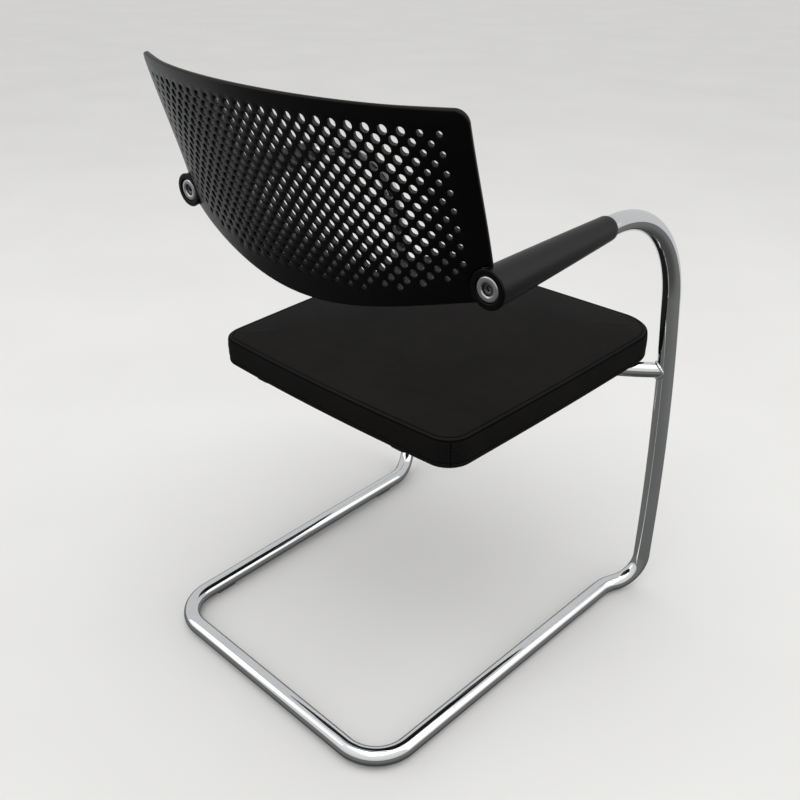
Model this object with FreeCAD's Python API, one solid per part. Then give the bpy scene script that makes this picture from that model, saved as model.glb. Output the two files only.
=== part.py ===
import FreeCAD, Part
import math
import os

V = FreeCAD.Vector
os.makedirs("parts", exist_ok=True)

# ---------------------------------------------------------------- dimensions
# Millimetres. +Z up, floor at z = 0, chair faces -Y, X = 0 is the mid plane.
# Lengths below are measured from the axis of the rear floor bar (y = 0);
# Y_SHIFT then moves everything so that the origin is under the middle.
Y_SHIFT = 285.35

# main frame, one bent steel tube
TUBE_R = 12.5
TUBE_WALL = 2.5
BASE_Z = 15.0              # height of the floor tube's axis
RUN_HALF = 219.54          # runner axis offset where it meets the rear bar
RUN_SPLAY = 0.0209         # runners open towards the front, rad
REAR_CORNER_R = 58.0
RUN_END_Y = -495.1         # runner is straight to here
KINK_ANGLE = 0.43688       # outward turn before the upright, rad
KINK_R = 65.42
KINK_STRAIGHT = 2.64
FOOT_BEND_R = 45.5         # floor tube to upright
UPRIGHT_STRAIGHT = 53.4
UPRIGHT_R = 2378.0         # long gentle sweep of the upright
UPRIGHT_LEAN = 0.16071     # lean at the top of the sweep, rad
ARM_BEND_R = 166.75
ARM_RISE = 0.05926         # arm climbs towards the front, rad
ARM_X = 258.0
EYE_Y = -130.0             # rear face of the cup washer
EYE_Z = 642.6
TUBE_END = 14.0            # tube ends this far in front of that face

# seat
SEAT_HALF_REAR = 218.3
SEAT_HALF_FRONT = 229.1
SEAT_REAR_Y = -130.8
SEAT_FRONT_Y = -581.1
SEAT_CORNER_REAR = 30.5
SEAT_CORNER_FRONT = 59.3
SEAT_BAND = 37.5           # height of the boxing band
SEAT_CROWN = 11.0          # how far the top rises above the band
SEAT_UNDER_Z = 403.2       # underside height at the rear edge
SEAT_SLOPE = 0.0183        # underside rises towards the front, rad
COVER_T = 1.5
PAN_T = 11.0
PANEL_T = 2.5

# seat support bow and brackets
BOW_R = 11.0
BOW_WALL = 2.0
BOW_APEX_Y = -448.1
BOW_END_Y = -548.4
BOW_DROP = 11.4            # bow axis below the seat's underside
BRACKET_W = 32.0
BRACKET_T = 5.0
BRACKET_X = 130.0
BRACKET_REAR_Y = -210.0
FRONT_TAB_X = 176.0
SEAT_SCREWS = [(130.0, -240.0), (130.0, -385.0), (176.0, -527.0)]

# back shell
SHELL_T = 5.1              # wall in the middle of the back
SHELL_T_RIM = 1.9          # how much thicker it is at its sides and lower rim
SHELL_HALF = 266.6         # half width along the surface
SHELL_TOP = 104.1
SHELL_ORIGIN_Y = -68.34
SHELL_ORIGIN_Z = 719.9
SHELL_TILT = 0.2946
SHELL_C2 = 5.954e-4
SHELL_C4 = 1.08e-9
SHELL_KT = -1.573e-4
SHELL_KS = -2.061e-4
SHELL_K3 = 2.67e-6
SHELL_KZ = -1.358e-4
SHELL_CORNER_R = 14.0
HOLE_PITCH_S = 9.84        # half pitch of the staggered holes, across
HOLE_PITCH_T = 10.03       # pitch of the rows
HOLE_R = 5.15              # interior holes; they shrink towards the rims
HOLE_R_EDGE = [3.1, 3.25, 3.45, 4.05, 4.6, 4.95]
HOLE_ROW_SCALE = {14: 0.97, 15: 0.93, 16: 0.875, 17: 0.815, 18: 0.74, 19: 0.64}
EAR_R = 22.5
EAR_REAR = -0.8            # the ear's ring runs from here along the arm axis
EAR_FRONT = 1.6            # to here, flush with the pad's end
HUB_R = 17.5               # hub of the ear, seated in the pad's counterbore
HUB_FRONT = 12.0

# arm pads
PAD_R_REAR = 21.9
PAD_R_FRONT = 15.2
PAD_START = 1.9
PAD_END = 220.0

# glides
GLIDE_W = 9.0
GLIDE_L = 36.0
GLIDE_PEG_R = 2.5


# ---------------------------------------------------------------- helpers
def mirror(shape):
    return shape.mirror(V(0, 0, 0), V(1, 0, 0))


def save(name, shape):
    shape = shape.copy()
    shape.translate(V(0, Y_SHIFT, 0))
    shape.exportStep("parts/%s.step" % name)
    b = shape.BoundBox
    print("%-26s solids %d valid %s vol %.0f box %.1f %.1f %.1f .. %.1f %.1f %.1f" % (
        name, len(shape.Solids), shape.isValid(), shape.Volume,
        b.XMin, b.YMin, b.ZMin, b.XMax, b.YMax, b.ZMax))


class Turtle:
    """Walks a centre line of straight runs and tangent arcs."""

    def __init__(self, p, d):
        self.p = V(p)
        self.d = V(d).normalize()
        self.edges = []

    def run(self, length):
        q = self.p + self.d * length
        if length > 1e-6:
            self.edges.append(Part.LineSegment(self.p, q).toShape())
        self.p = q

    def turn(self, axis, radius, angle):
        axis = V(axis).normalize()
        s = 1.0 if angle >= 0 else -1.0
        c = self.p + axis.cross(self.d) * (radius * s)

        def at(a):
            rot = FreeCAD.Rotation(axis, math.degrees(a))
            return c + rot.multVec(self.p - c)
        m, q = at(angle * 0.5), at(angle)
        self.edges.append(Part.Arc(self.p, m, q).toShape())
        self.d = FreeCAD.Rotation(axis, math.degrees(angle)).multVec(self.d)
        self.p = q


def sweep(wire, start, direction, radius):
    ring = Part.Wire([Part.makeCircle(radius, start, direction)])
    solid = wire.makePipeShell([ring], True, False)
    return solid


# ---------------------------------------------------------------- frame
arm_dir = V(0, -math.cos(ARM_RISE), math.sin(ARM_RISE))   # rear to front
eye = V(-ARM_X, EYE_Y, EYE_Z)                             # on the arm axis


def along(a, x=-ARM_X):
    q = eye + arm_dir * a
    return V(x, q.y, q.z)


turn_corner = math.pi / 2 - RUN_SPLAY
half_bar = RUN_HALF - REAR_CORNER_R * math.tan(turn_corner / 2)
t = Turtle(V(-half_bar, 0, BASE_Z), V(-1, 0, 0))
t.turn(V(0, 0, 1), REAR_CORNER_R, turn_corner)
t.run((RUN_END_Y - t.p.y) / t.d.y)
t.turn(V(0, 0, 1), KINK_R, -KINK_ANGLE)
t.run(KINK_STRAIGHT)
t.turn(t.d.cross(V(0, 0, 1)), FOOT_BEND_R, math.pi / 2)
t.run(UPRIGHT_STRAIGHT)
foot_x = t.p.x
t.turn(V(1, 0, 0), UPRIGHT_R, -UPRIGHT_LEAN)
# straight run whose length lets the arm bend end on the arm axis
bend = math.pi / 2 - UPRIGHT_LEAN + ARM_RISE
probe = Turtle(t.p, t.d)
probe.turn(V(1, 0, 0), ARM_BEND_R, -bend)
up = V(1, 0, 0).cross(arm_dir * -1).normalize()
lead = -(probe.p - eye).dot(up) / t.d.dot(up)
t.run(lead)
t.turn(V(1, 0, 0), ARM_BEND_R, -bend)
tube_tip = V(t.p.x, along(TUBE_END).y, along(TUBE_END).z)
last = (tube_tip - t.p).dot(arm_dir * -1)
t.run(last)
print("upright x %.3f lead %.2f arm straight %.2f tip error %.3f" % (
    foot_x, lead, last, (t.p - tube_tip).Length))
AX = -t.p.x            # true lateral position of the arm axis
side_edges = t.edges
arm_tip = V(t.p)

mid = Part.LineSegment(V(half_bar, 0, BASE_Z), V(-half_bar, 0, BASE_Z)).toShape()
left_edges = [mirror(e) for e in reversed(side_edges)]
spine = Part.Wire(Part.__sortEdges__(left_edges + [mid] + side_edges))
start = V(AX, arm_tip.y, arm_tip.z)
frame_solid = sweep(spine, start, arm_dir, TUBE_R)
frame_bore = sweep(spine, start, arm_dir, TUBE_R - TUBE_WALL)
frame_tube = frame_solid.cut(frame_bore)

# ---------------------------------------------------------------- glides
runner_dir = V(-math.sin(RUN_SPLAY), -math.cos(RUN_SPLAY), 0)


def runner_point(y):
    return V(-RUN_HALF + math.tan(RUN_SPLAY) * y, y, BASE_Z)


def glide(y):
    p = runner_point(y)
    blk = Part.makeBox(GLIDE_W, GLIDE_L, 4.2, V(-GLIDE_W / 2, -GLIDE_L / 2, 0))
    blk = blk.makeFillet(2.0, [e for e in blk.Edges
                               if abs(e.Vertexes[0].Z - e.Vertexes[1].Z) > 1.0])
    blk.rotate(V(0, 0, 0), V(0, 0, 1), -math.degrees(RUN_SPLAY))
    blk.translate(V(p.x, p.y, 0))
    around = Part.makeCylinder(TUBE_R, 200, p - runner_dir * 100, runner_dir)
    pad = blk.cut(around)
    peg = Part.makeCylinder(GLIDE_PEG_R, 6.2, V(p.x, p.y, 1.0))
    return pad.fuse(peg).removeSplitter(), peg


glides = {}
pegs = []
for label, y in (("rear", -92.0), ("front", -462.0)):
    g, peg = glide(y)
    glides["glide_%s_right" % label] = g
    glides["glide_%s_left" % label] = mirror(g)
    pegs += [peg, mirror(peg)]
for peg in pegs:
    frame_tube = frame_tube.cut(peg)

# ---------------------------------------------------------------- support bow
tilt = FreeCAD.Placement(V(0, SEAT_REAR_Y, SEAT_UNDER_Z),
                         FreeCAD.Rotation(V(1, 0, 0), -math.degrees(SEAT_SLOPE)))


def seat_local(y, z=0.0, x=0.0):
    """Point at row-frame depth y, z above the seat's underside."""
    return tilt.multVec(V(x, (y - SEAT_REAR_Y) / math.cos(SEAT_SLOPE), z))


bow_end = seat_local(BOW_END_Y, -BOW_DROP)
bow_mid = seat_local(BOW_APEX_Y, -BOW_DROP)
A = V(-AX, bow_end.y, bow_end.z)
B = V(AX, bow_end.y, bow_end.z)
bow_arc = Part.Arc(A, V(0, bow_mid.y, bow_mid.z), B)
bow_wire = Part.Wire([bow_arc.toShape()])
tan = bow_arc.toShape().tangentAt(bow_arc.toShape().FirstParameter)
bow_solid = sweep(bow_wire, A, tan, BOW_R)
bow_bore = sweep(bow_wire, A, tan, BOW_R - BOW_WALL)
# short stretch of the uprights, used to cope the bow's ends
seat_support_bow = bow_solid.cut(bow_bore).cut(frame_solid)
bow_sol = sorted(seat_support_bow.Solids, key=lambda s: -s.Volume)
seat_support_bow = bow_sol[0]
# circle of the bow, for placing what is welded to it
half = abs(A.x)
sag = bow_mid.y - bow_end.y
bow_circle_r = (half * half + sag * sag) / (2 * sag)


def bow_y(x):
    return BOW_APEX_Y - (bow_circle_r - math.sqrt(bow_circle_r ** 2 - x * x))


# ---------------------------------------------------------------- seat
def seat_outline(grow, z):
    """Plan outline: trapezoid with round corners, edges slightly bowed out."""
    wr, wf = SEAT_HALF_REAR + grow, SEAT_HALF_FRONT + grow
    yr = SEAT_REAR_Y + grow
    yf = SEAT_FRONT_Y - grow
    rr = max(SEAT_CORNER_REAR + grow * 0.6, 8.0)
    rf = max(SEAT_CORNER_FRONT + grow * 0.6, 8.0)
    slant = math.atan((wf - wr) / (yr - yf))
    # tangent points of the corner arcs, right side
    ar = math.pi / 2 - slant
    tr = rr * math.tan(ar / 2)
    tr2 = tr
    af = math.pi / 2 + slant
    tf = rf * math.tan(af / 2)
    side = V(-math.sin(slant), -math.cos(slant), 0)

    def arc3(p, corner, q, r, a):
        u = (p - corner).normalize() + (q - corner).normalize()
        u = u.normalize()
        inner = math.pi - a
        return corner + u * (r / math.sin(inner / 2) - r)
    cr = V(-wr, yr, 0)
    cf = V(-wf, yf, 0)
    p1 = cr + V(tr, 0, 0)
    p2 = cr + side * tr2
    p3 = cf - side * tf
    p4 = cf + V(tf, 0, 0)
    m_r = arc3(p1, cr, p2, rr, ar)
    m_f = arc3(p3, cf, p4, rf, af)
    # bowed edges
    rear_bow = 6.5
    side_bow = 2.6
    front_bow = 1.2
    mid_rear = V(0, yr + rear_bow, 0)
    mid_side = (p2 + p3) * 0.5 + V(-side_bow, 0, 0)
    mid_front = V(0, yf - front_bow, 0)
    m = lambda q: V(-q.x, q.y, 0)
    E = [Part.Arc(m(p1), mid_rear, p1), Part.Arc(p1, m_r, p2), Part.Arc(p2, mid_side, p3),
         Part.Arc(p3, m_f, p4), Part.Arc(p4, mid_front, m(p4)), Part.Arc(m(p4), m(m_f), m(p3)),
         Part.Arc(m(p3), m(mid_side), m(p2)), Part.Arc(m(p2), m(m_r), m(p1))]
    w = Part.Wire([e.toShape() for e in E])
    w.translate(V(0, -SEAT_REAR_Y, z))
    return w


def seat_body(inset, bottom, top_drop):
    side = Part.makeLoft([seat_outline(1.0 - inset, bottom), seat_outline(-inset, SEAT_BAND - top_drop)], True, True)
    crown = Part.makeLoft([seat_outline(-inset, SEAT_BAND - top_drop),
                           seat_outline(-inset - 9.0, SEAT_BAND + 0.36 * SEAT_CROWN - top_drop),
                           seat_outline(-inset - 34.0, SEAT_BAND + 0.72 * SEAT_CROWN - top_drop),
                           seat_outline(-inset - 78.0, SEAT_BAND + 0.94 * SEAT_CROWN - top_drop),
                           seat_outline(-inset - 120.0, SEAT_BAND + SEAT_CROWN - top_drop)], True, True)
    return side.fuse(crown).removeSplitter()


def slab(inset, z0, z1):
    return Part.makeLoft([seat_outline(1.0 - inset, z0), seat_outline(1.0 - inset, z1)], True, True)


outer = seat_body(0.0, 0.0, 0.0)
inner = seat_body(COVER_T, PANEL_T, COVER_T)
mouth = slab(22.0, -5.0, PANEL_T)
seat_cover = outer.cut(inner).cut(mouth)
seat_pan = seat_body(COVER_T, PANEL_T, COVER_T).common(
    Part.makeBox(700, 700, PAN_T, V(-350, -600, PANEL_T)))
seat_foam = seat_body(COVER_T, PANEL_T, COVER_T).cut(
    Part.makeBox(700, 700, PAN_T + 20, V(-350, -600, PANEL_T - 20)))
seat_underside_panel = slab(22.0, 0.0, PANEL_T)


def sy(y):
    """Row-frame depth to depth in the seat's own flat frame."""
    return (y - SEAT_REAR_Y) / math.cos(SEAT_SLOPE)


screws, washers, nuts = [], [], []
for x, y in SEAT_SCREWS:
    for sx in (x, -x):
        c = V(sx, sy(y), 0)
        axis = V(0, 0, 1)
        seat_underside_panel = seat_underside_panel.cut(Part.makeCylinder(3.4, 20, c + V(0, 0, -10), axis))
        seat_pan = seat_pan.cut(Part.makeCylinder(4.5, 10, c + V(0, 0, PANEL_T), axis))
        nut = Part.makeCylinder(4.5, 10, c + V(0, 0, PANEL_T), axis).cut(
            Part.makeCylinder(3.02, 12, c + V(0, 0, PANEL_T - 1), axis))
        nuts.append(nut)
        base = c + V(0, 0, -BRACKET_T)
        washers.append(Part.makeCylinder(6.4, 1.2, base - V(0, 0, 1.2), axis).cut(
            Part.makeCylinder(3.2, 3, base - V(0, 0, 2), axis)))
        head = Part.makeCylinder(5.2, 3.6, base - V(0, 0, 4.8), axis)
        head = head.makeFillet(1.2, [e for e in head.Edges if abs(e.BoundBox.ZMin - (base.z - 4.8)) < 1e-3
                                     and abs(e.BoundBox.ZMax - (base.z - 4.8)) < 1e-3])
        hexw = Part.makePolygon([V(c.x + 2.31 * math.cos(k * math.pi / 3), c.y + 2.31 * math.sin(k * math.pi / 3), base.z - 4.9)
                                 for k in range(7)])
        hexp = Part.Face(Part.Wire(hexw.Edges)).extrude(V(0, 0, 2.3))
        shank = Part.makeCylinder(3.0, 1.3 + BRACKET_T + PANEL_T + 8.5, base - V(0, 0, 1.3), axis)
        screws.append(head.cut(hexp).fuse(shank).removeSplitter())


def to_seat(shape):
    s = shape.copy()
    s.Placement = tilt.multiply(s.Placement)
    return s


# ---------------------------------------------------------------- brackets
def plate(x0, x1, y0, y1):
    """Flat steel under the seat, from depth y0 to y1, rounded at its free end."""
    b = Part.makeBox(x1 - x0, abs(sy(y1) - sy(y0)), BRACKET_T,
                     V(x0, min(sy(y0), sy(y1)), -BRACKET_T))
    return b


def with_holes(shape, pts):
    for x, y in pts:
        shape = shape.cut(Part.makeCylinder(3.3, 20, V(x, sy(y), -15)))
    return shape


bx0, bx1 = BRACKET_X - BRACKET_W / 2, BRACKET_X + BRACKET_W / 2
rear_plate = plate(bx0, bx1, bow_y(bx0) + 3.0, BRACKET_REAR_Y)
rear_plate = rear_plate.makeFillet(9.0, [e for e in rear_plate.Edges
                                         if abs(e.Vertexes[0].Z - e.Vertexes[1].Z) > 1.0
                                         and e.Vertexes[0].Y > sy(BRACKET_REAR_Y) - 1.0])
rear_plate = with_holes(rear_plate, SEAT_SCREWS[:2])
fx0, fx1 = FRONT_TAB_X - 14.0, FRONT_TAB_X + 14.0
front_plate = plate(fx0, fx1, bow_y(fx1) - 3.0, -543.0)
front_plate = front_plate.makeFillet(9.0, [e for e in front_plate.Edges
                                           if abs(e.Vertexes[0].Z - e.Vertexes[1].Z) > 1.0
                                           and e.Vertexes[0].Y < sy(-543.0) + 1.0])
front_plate = with_holes(front_plate, SEAT_SCREWS[2:])
brackets = {}
for label, s in (("seat_bracket", rear_plate), ("seat_front_tab", front_plate)):
    left = to_seat(s).cut(bow_solid)
    left = sorted(left.Solids, key=lambda q: -q.Volume)[0]
    brackets[label + "_left"] = left
    brackets[label + "_right"] = mirror(left)


# ---------------------------------------------------------------- back shell
def shell_point(s, t_, depth=0.0):
    """Surface of the moulded back: s across, t_ up, both along the surface."""
    n = 40
    x = 0.0
    for k in range(n):
        a = s * (k + 0.5) / n
        dy = 2 * SHELL_C2 * a + 4 * SHELL_C4 * a ** 3
        x += math.sqrt(max(1 - dy * dy, 0.01)) * s / n
    y = -(SHELL_C2 * s * s + SHELL_C4 * s ** 4) * (1 + SHELL_KS * t_) - SHELL_KT * t_ * t_ - SHELL_K3 * t_ ** 3
    z = t_ + SHELL_KZ * s * s
    ct, st = math.cos(SHELL_TILT), math.sin(SHELL_TILT)
    return V(-x, SHELL_ORIGIN_Y + y * ct + z * st, SHELL_ORIGIN_Z - y * st + z * ct)


def shell_normal(s, t_):
    a = shell_point(s + 0.5, t_) - shell_point(s - 0.5, t_)
    b = shell_point(s, t_ + 0.5) - shell_point(s, t_ - 0.5)
    n = a.cross(b).normalize()
    if n.y < 0:
        n = n * -1
    return n


def shell_bottom(s):
    return -147.7 + 0.001047 * s * s - 5.769e-9 * s ** 4


def ease(q):
    q = min(max(q, 0.0), 1.0)
    return q * q * (3 - 2 * q)


def shell_wall(s, t_):
    """Wall thickness at a point of the back."""
    f, g = ease((abs(s) - 175.0) / 65.0), ease((-t_ - 30.0) / 80.0)
    return SHELL_T + SHELL_T_RIM * (1 - (1 - f) * (1 - g))


def shell_pt(u, v, front):
    s = u * SHELL_HALF
    lo = shell_bottom(s)
    t_ = lo + v * (SHELL_TOP - lo)
    return shell_point(s, t_) - shell_normal(s, t_) * (shell_wall(s, t_) if front else 0.0)


NU, NV = 41, 13
us = [-1 + 2.0 * k / (NU - 1) for k in range(NU)]
vs = [k / (NV - 1.0) for k in range(NV)]


def shell_face(front):
    srf = Part.BSplineSurface()
    srf.interpolate([[shell_pt(u, v, front) for v in vs] for u in us])
    return srf.toShape()


rear_face = shell_face(False)
front_face = shell_face(True)


def border(face, k):
    s = face.Surface
    u0, u1, v0, v1 = s.bounds()
    return [s.uIso(u0), s.uIso(u1), s.vIso(v0), s.vIso(v1)][k].toShape()


walls = [Part.makeRuledSurface(border(rear_face, k), border(front_face, k)) for k in range(4)]
skin = Part.Shell([rear_face, front_face] + walls)
skin = Part.makeShell([f for f in [rear_face, front_face] + walls])
skin.sewShape()
plate_solid = Part.Solid(Part.Shell(skin.Faces)) if not skin.Solids else skin.Solids[0]
if plate_solid.Volume < 0:
    plate_solid.reverse()
print("plate", plate_solid.isValid(), plate_solid.Volume)


def corner_edges(solid):
    out = []
    for e in solid.Edges:
        if len(e.Vertexes) == 2 and e.Length < 1.5 * (SHELL_T + SHELL_T_RIM):
            if min(v.Z for v in e.Vertexes) > SHELL_ORIGIN_Z + 80:
                out.append(e)
    return out


try:
    rounded = plate_solid.makeFillet(SHELL_CORNER_R, corner_edges(plate_solid))
    if rounded.isValid() and rounded.Volume > 0.9 * plate_solid.Volume:
        plate_solid = rounded
    print("corner fillet ok")
except Exception as err:
    print("corner fillet skipped", err)

back_dir = arm_dir


def disc(r, a0, a1, x=-AX):
    return Part.makeCylinder(r, a1 - a0, along(a0, x), back_dir)


# perforation: 20 staggered rows, the lower ones shorter
rows = []
for j in range(20):
    if j <= 15:
        cols = list(range(0, 49, 2)) if j % 2 == 0 else list(range(1, 48, 2))
    elif j == 16:
        cols = list(range(2, 47, 2))
    elif j == 17:
        cols = list(range(5, 44, 2))
    elif j == 18:
        cols = list(range(8, 41, 2))
    else:
        cols = list(range(13, 36, 2))
    for i in cols:
        rows.append((i, j))


def hole_radius(i, j):
    edge = min(i, 48 - i)
    r = HOLE_R_EDGE[edge] if edge < 6 else HOLE_R
    return r * HOLE_ROW_SCALE.get(j, 1.0)


PERFORATE = True
if PERFORATE:
    drills = []
    for i, j in rows:
        s, t_ = (24 - i) * HOLE_PITCH_S, -(j - 8) * HOLE_PITCH_T
        n = shell_normal(s, t_)
        drills.append(Part.makeCylinder(hole_radius(i, j), 17.0, shell_point(s, t_) + n * 4.5, n * -1))
    print("holes", len(drills))

ears_add, ears_cut = [], []
for x in (-AX, AX):
    boss = disc(EAR_R, EAR_REAR, EAR_FRONT, x)
    circ = [e for e in boss.Edges if e.Closed and abs(e.CenterOfMass.y - along(EAR_REAR).y) < 0.6]
    boss = boss.makeFillet(1.6, circ)
    ears_add.append(boss)
    ears_add.append(disc(HUB_R, 0.5, HUB_FRONT, x))
    ears_cut += [disc(14.8, -8.0, 3.5, x), disc(12.0, -5.0, HUB_FRONT + 5, x), ]
clear = [disc(EAR_R + 0.4, EAR_FRONT, 70.0, x) for x in (-AX, AX)]
back_shell = plate_solid
for c in clear:
    back_shell = back_shell.cut(c)
for b in ears_add:
    back_shell = back_shell.fuse(b)
for c in ears_cut:
    back_shell = back_shell.cut(c)
if PERFORATE:
    back_shell = back_shell.cut(Part.makeCompound(drills))
if len(back_shell.Solids) > 1:
    print("shell pieces", [round(s.Volume) for s in back_shell.Solids])
back_shell = sorted(back_shell.Solids, key=lambda s: -s.Volume)[0]


# ---------------------------------------------------------------- back fixings
def cup_washer(x):
    w = disc(14.5, 0.0, 3.5, x)
    rim = [e for e in w.Edges if e.Closed and abs(e.CenterOfMass.y - along(0).y) < 0.3]
    w = w.makeFillet(0.7, rim)
    w = w.fuse(disc(9.2, 3.5, HUB_FRONT, x))
    w = w.cut(disc(7.5, -1.0, 8.0, x)).cut(disc(4.3, 7.0, HUB_FRONT + 1, x))
    return w


def back_bush(x):
    return disc(12.0, 3.5, HUB_FRONT, x).cut(disc(9.2, 3.0, HUB_FRONT + 1, x))


def back_screw(x):
    h = disc(6.5, 2.5, 8.0, x)
    rim = [e for e in h.Edges if e.Closed and abs(e.CenterOfMass.y - along(2.5).y) < 0.3]
    h = h.makeFillet(0.6, rim)
    c = along(2.3, x)
    side = V(1, 0, 0)
    upv = side.cross(back_dir).normalize()
    pts = [c + side * (2.89 * math.cos(k * math.pi / 3)) + upv * (2.89 * math.sin(k * math.pi / 3)) for k in range(7)]
    hexa = Part.Face(Part.Wire(Part.makePolygon(pts).Edges)).extrude(back_dir * 3.4)
    return h.cut(hexa).fuse(disc(4.0, 8.0, 38.0, x)).removeSplitter()


def tube_plug(x):
    p = disc(TUBE_R, HUB_FRONT, TUBE_END, x).fuse(disc(TUBE_R - TUBE_WALL, TUBE_END, 44.0, x))
    return p.removeSplitter().cut(disc(4.02, HUB_FRONT - 1, 45.0, x))


def arm_pad(x):
    """Tapered sleeve around the arm, counterbored for the ear's hub and rounded at its front end."""
    prof = [V(HUB_R + 0.3, 0, PAD_START), V(PAD_R_REAR - 0.8, 0, PAD_START), V(PAD_R_REAR, 0, PAD_START + 0.8),
            V(PAD_R_FRONT + 0.3, 0, PAD_END - 5.0)]
    c1 = V(PAD_R_FRONT - 0.5, 0, PAD_END - 1.6)
    c2 = V(TUBE_R, 0, PAD_END)
    e = [Part.LineSegment(prof[0], prof[1]).toShape(), Part.LineSegment(prof[1], prof[2]).toShape(),
         Part.LineSegment(prof[2], prof[3]).toShape(), Part.Arc(prof[3], c1, c2).toShape(),
         Part.LineSegment(c2, V(TUBE_R, 0, HUB_FRONT + 0.1)).toShape(),
         Part.LineSegment(V(TUBE_R, 0, HUB_FRONT + 0.1), V(HUB_R + 0.3, 0, HUB_FRONT + 0.1)).toShape(),
         Part.LineSegment(V(HUB_R + 0.3, 0, HUB_FRONT + 0.1), prof[0]).toShape()]
    solid = Part.Face(Part.Wire(e)).revolve(V(0, 0, 0), V(0, 0, 1), 360)
    base = along(0.0, x)
    pl = FreeCAD.Placement(base, FreeCAD.Rotation(V(0, 0, 1), back_dir))
    solid.Placement = pl
    return solid


parts = {
    "frame_tube": frame_tube,
    "seat_support_bow": seat_support_bow,
    "seat_cover": to_seat(seat_cover),
    "seat_foam": to_seat(seat_foam),
    "seat_pan": to_seat(seat_pan),
    "seat_underside_panel": to_seat(seat_underside_panel),
    "seat_screws": Part.makeCompound([to_seat(s) for s in screws]),
    "seat_screw_washers": Part.makeCompound([to_seat(s) for s in washers]),
    "seat_insert_nuts": Part.makeCompound([to_seat(s) for s in nuts]),
    "back_shell": back_shell,
}
parts.update(brackets)
parts.update(glides)
for side, x in (("right", -AX), ("left", AX)):
    parts["back_cup_washer_" + side] = cup_washer(x)
    parts["back_bush_" + side] = back_bush(x)
    parts["back_screw_" + side] = back_screw(x)
    parts["tube_plug_" + side] = tube_plug(x)
    parts["arm_pad_" + side] = arm_pad(x)

lo, hi = V(1e9, 1e9, 1e9), V(-1e9, -1e9, -1e9)
for name in sorted(parts):
    save(name, parts[name])
    b = parts[name].BoundBox
    lo = V(min(lo.x, b.XMin), min(lo.y, b.YMin), min(lo.z, b.ZMin))
    hi = V(max(hi.x, b.XMax), max(hi.y, b.YMax), max(hi.z, b.ZMax))
print("box", lo, hi, "middle y", (lo.y + hi.y) / 2, "parts", len(parts))
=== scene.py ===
import math
import random

import bmesh
import bpy
import numpy as np
from mathutils import Matrix, Vector
from mathutils.geometry import delaunay_2d_cdt

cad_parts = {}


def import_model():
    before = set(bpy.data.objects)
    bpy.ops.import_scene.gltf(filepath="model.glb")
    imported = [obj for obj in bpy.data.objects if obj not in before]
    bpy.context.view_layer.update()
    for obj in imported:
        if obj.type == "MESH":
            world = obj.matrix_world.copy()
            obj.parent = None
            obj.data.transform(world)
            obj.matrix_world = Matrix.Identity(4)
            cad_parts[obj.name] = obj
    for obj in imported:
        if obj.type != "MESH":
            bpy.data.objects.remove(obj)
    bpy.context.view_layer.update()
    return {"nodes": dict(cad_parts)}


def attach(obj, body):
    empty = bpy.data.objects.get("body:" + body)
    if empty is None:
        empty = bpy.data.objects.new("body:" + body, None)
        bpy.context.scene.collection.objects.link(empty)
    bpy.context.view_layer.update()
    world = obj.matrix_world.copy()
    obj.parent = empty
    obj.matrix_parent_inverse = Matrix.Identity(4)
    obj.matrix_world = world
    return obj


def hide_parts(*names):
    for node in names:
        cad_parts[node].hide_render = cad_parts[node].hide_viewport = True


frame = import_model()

random.seed(7)
NODES = frame["nodes"]

# ------------------------------------------------------------------ sizes
# Millimetres, measured from the rear floor bar's axis (y = 0), floor at 0,
# mid plane x = 0. YS moves them into the shared frame.
YS = 285.35
TUBE_R, TUBE_WALL, BASE_Z = 12.5, 2.5, 15.0
RUN_HALF, RUN_SPLAY, REAR_CORNER_R, RUN_END_Y = 219.54, 0.0209, 58.0, -495.1
KINK_ANGLE, KINK_R, KINK_STRAIGHT = 0.43688, 65.42, 2.64
FOOT_BEND_R, UPRIGHT_STRAIGHT, UPRIGHT_R, UPRIGHT_LEAN = 45.5, 53.4, 2378.0, 0.16071
ARM_BEND_R, ARM_RISE, ARM_X, EYE_Y, EYE_Z, TUBE_END = 166.75, 0.05926, 258.0, -130.0, 642.6, 14.0
SEAT_HALF_REAR, SEAT_HALF_FRONT, SEAT_REAR_Y, SEAT_FRONT_Y = 218.3, 229.1, -130.8, -581.1
SEAT_CORNER_REAR, SEAT_CORNER_FRONT = 30.5, 59.3
SEAT_BAND, SEAT_CROWN, SEAT_UNDER_Z, SEAT_SLOPE = 37.5, 11.0, 403.2, 0.0183
BOW_R, BOW_APEX_Y, BOW_END_Y, BOW_DROP = 11.0, -448.1, -548.4, 11.4
SHELL_T, SHELL_T_RIM, SHELL_HALF, SHELL_TOP, SHELL_CORNER_R = 5.1, 1.9, 266.6, 104.1, 14.0
EAR_R, EAR_FRONT, HUB_R, HUB_FRONT, NOTCH_R = 22.5, 1.6, 17.5, 12.0, 22.25


def unit(v):
    v = np.asarray(v, float)
    return v / np.linalg.norm(v)


def rotv(v, axis, a):
    axis = unit(axis)
    return v * math.cos(a) + np.cross(axis, v) * math.sin(a) + axis * (axis @ v) * (1 - math.cos(a))


def world(p):
    """Millimetres to metres in the shared frame, for an (n, 3) array."""
    q = np.array(p, float).reshape(-1, 3).copy()
    q[:, 1] += YS
    return q / 1000.0


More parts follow.
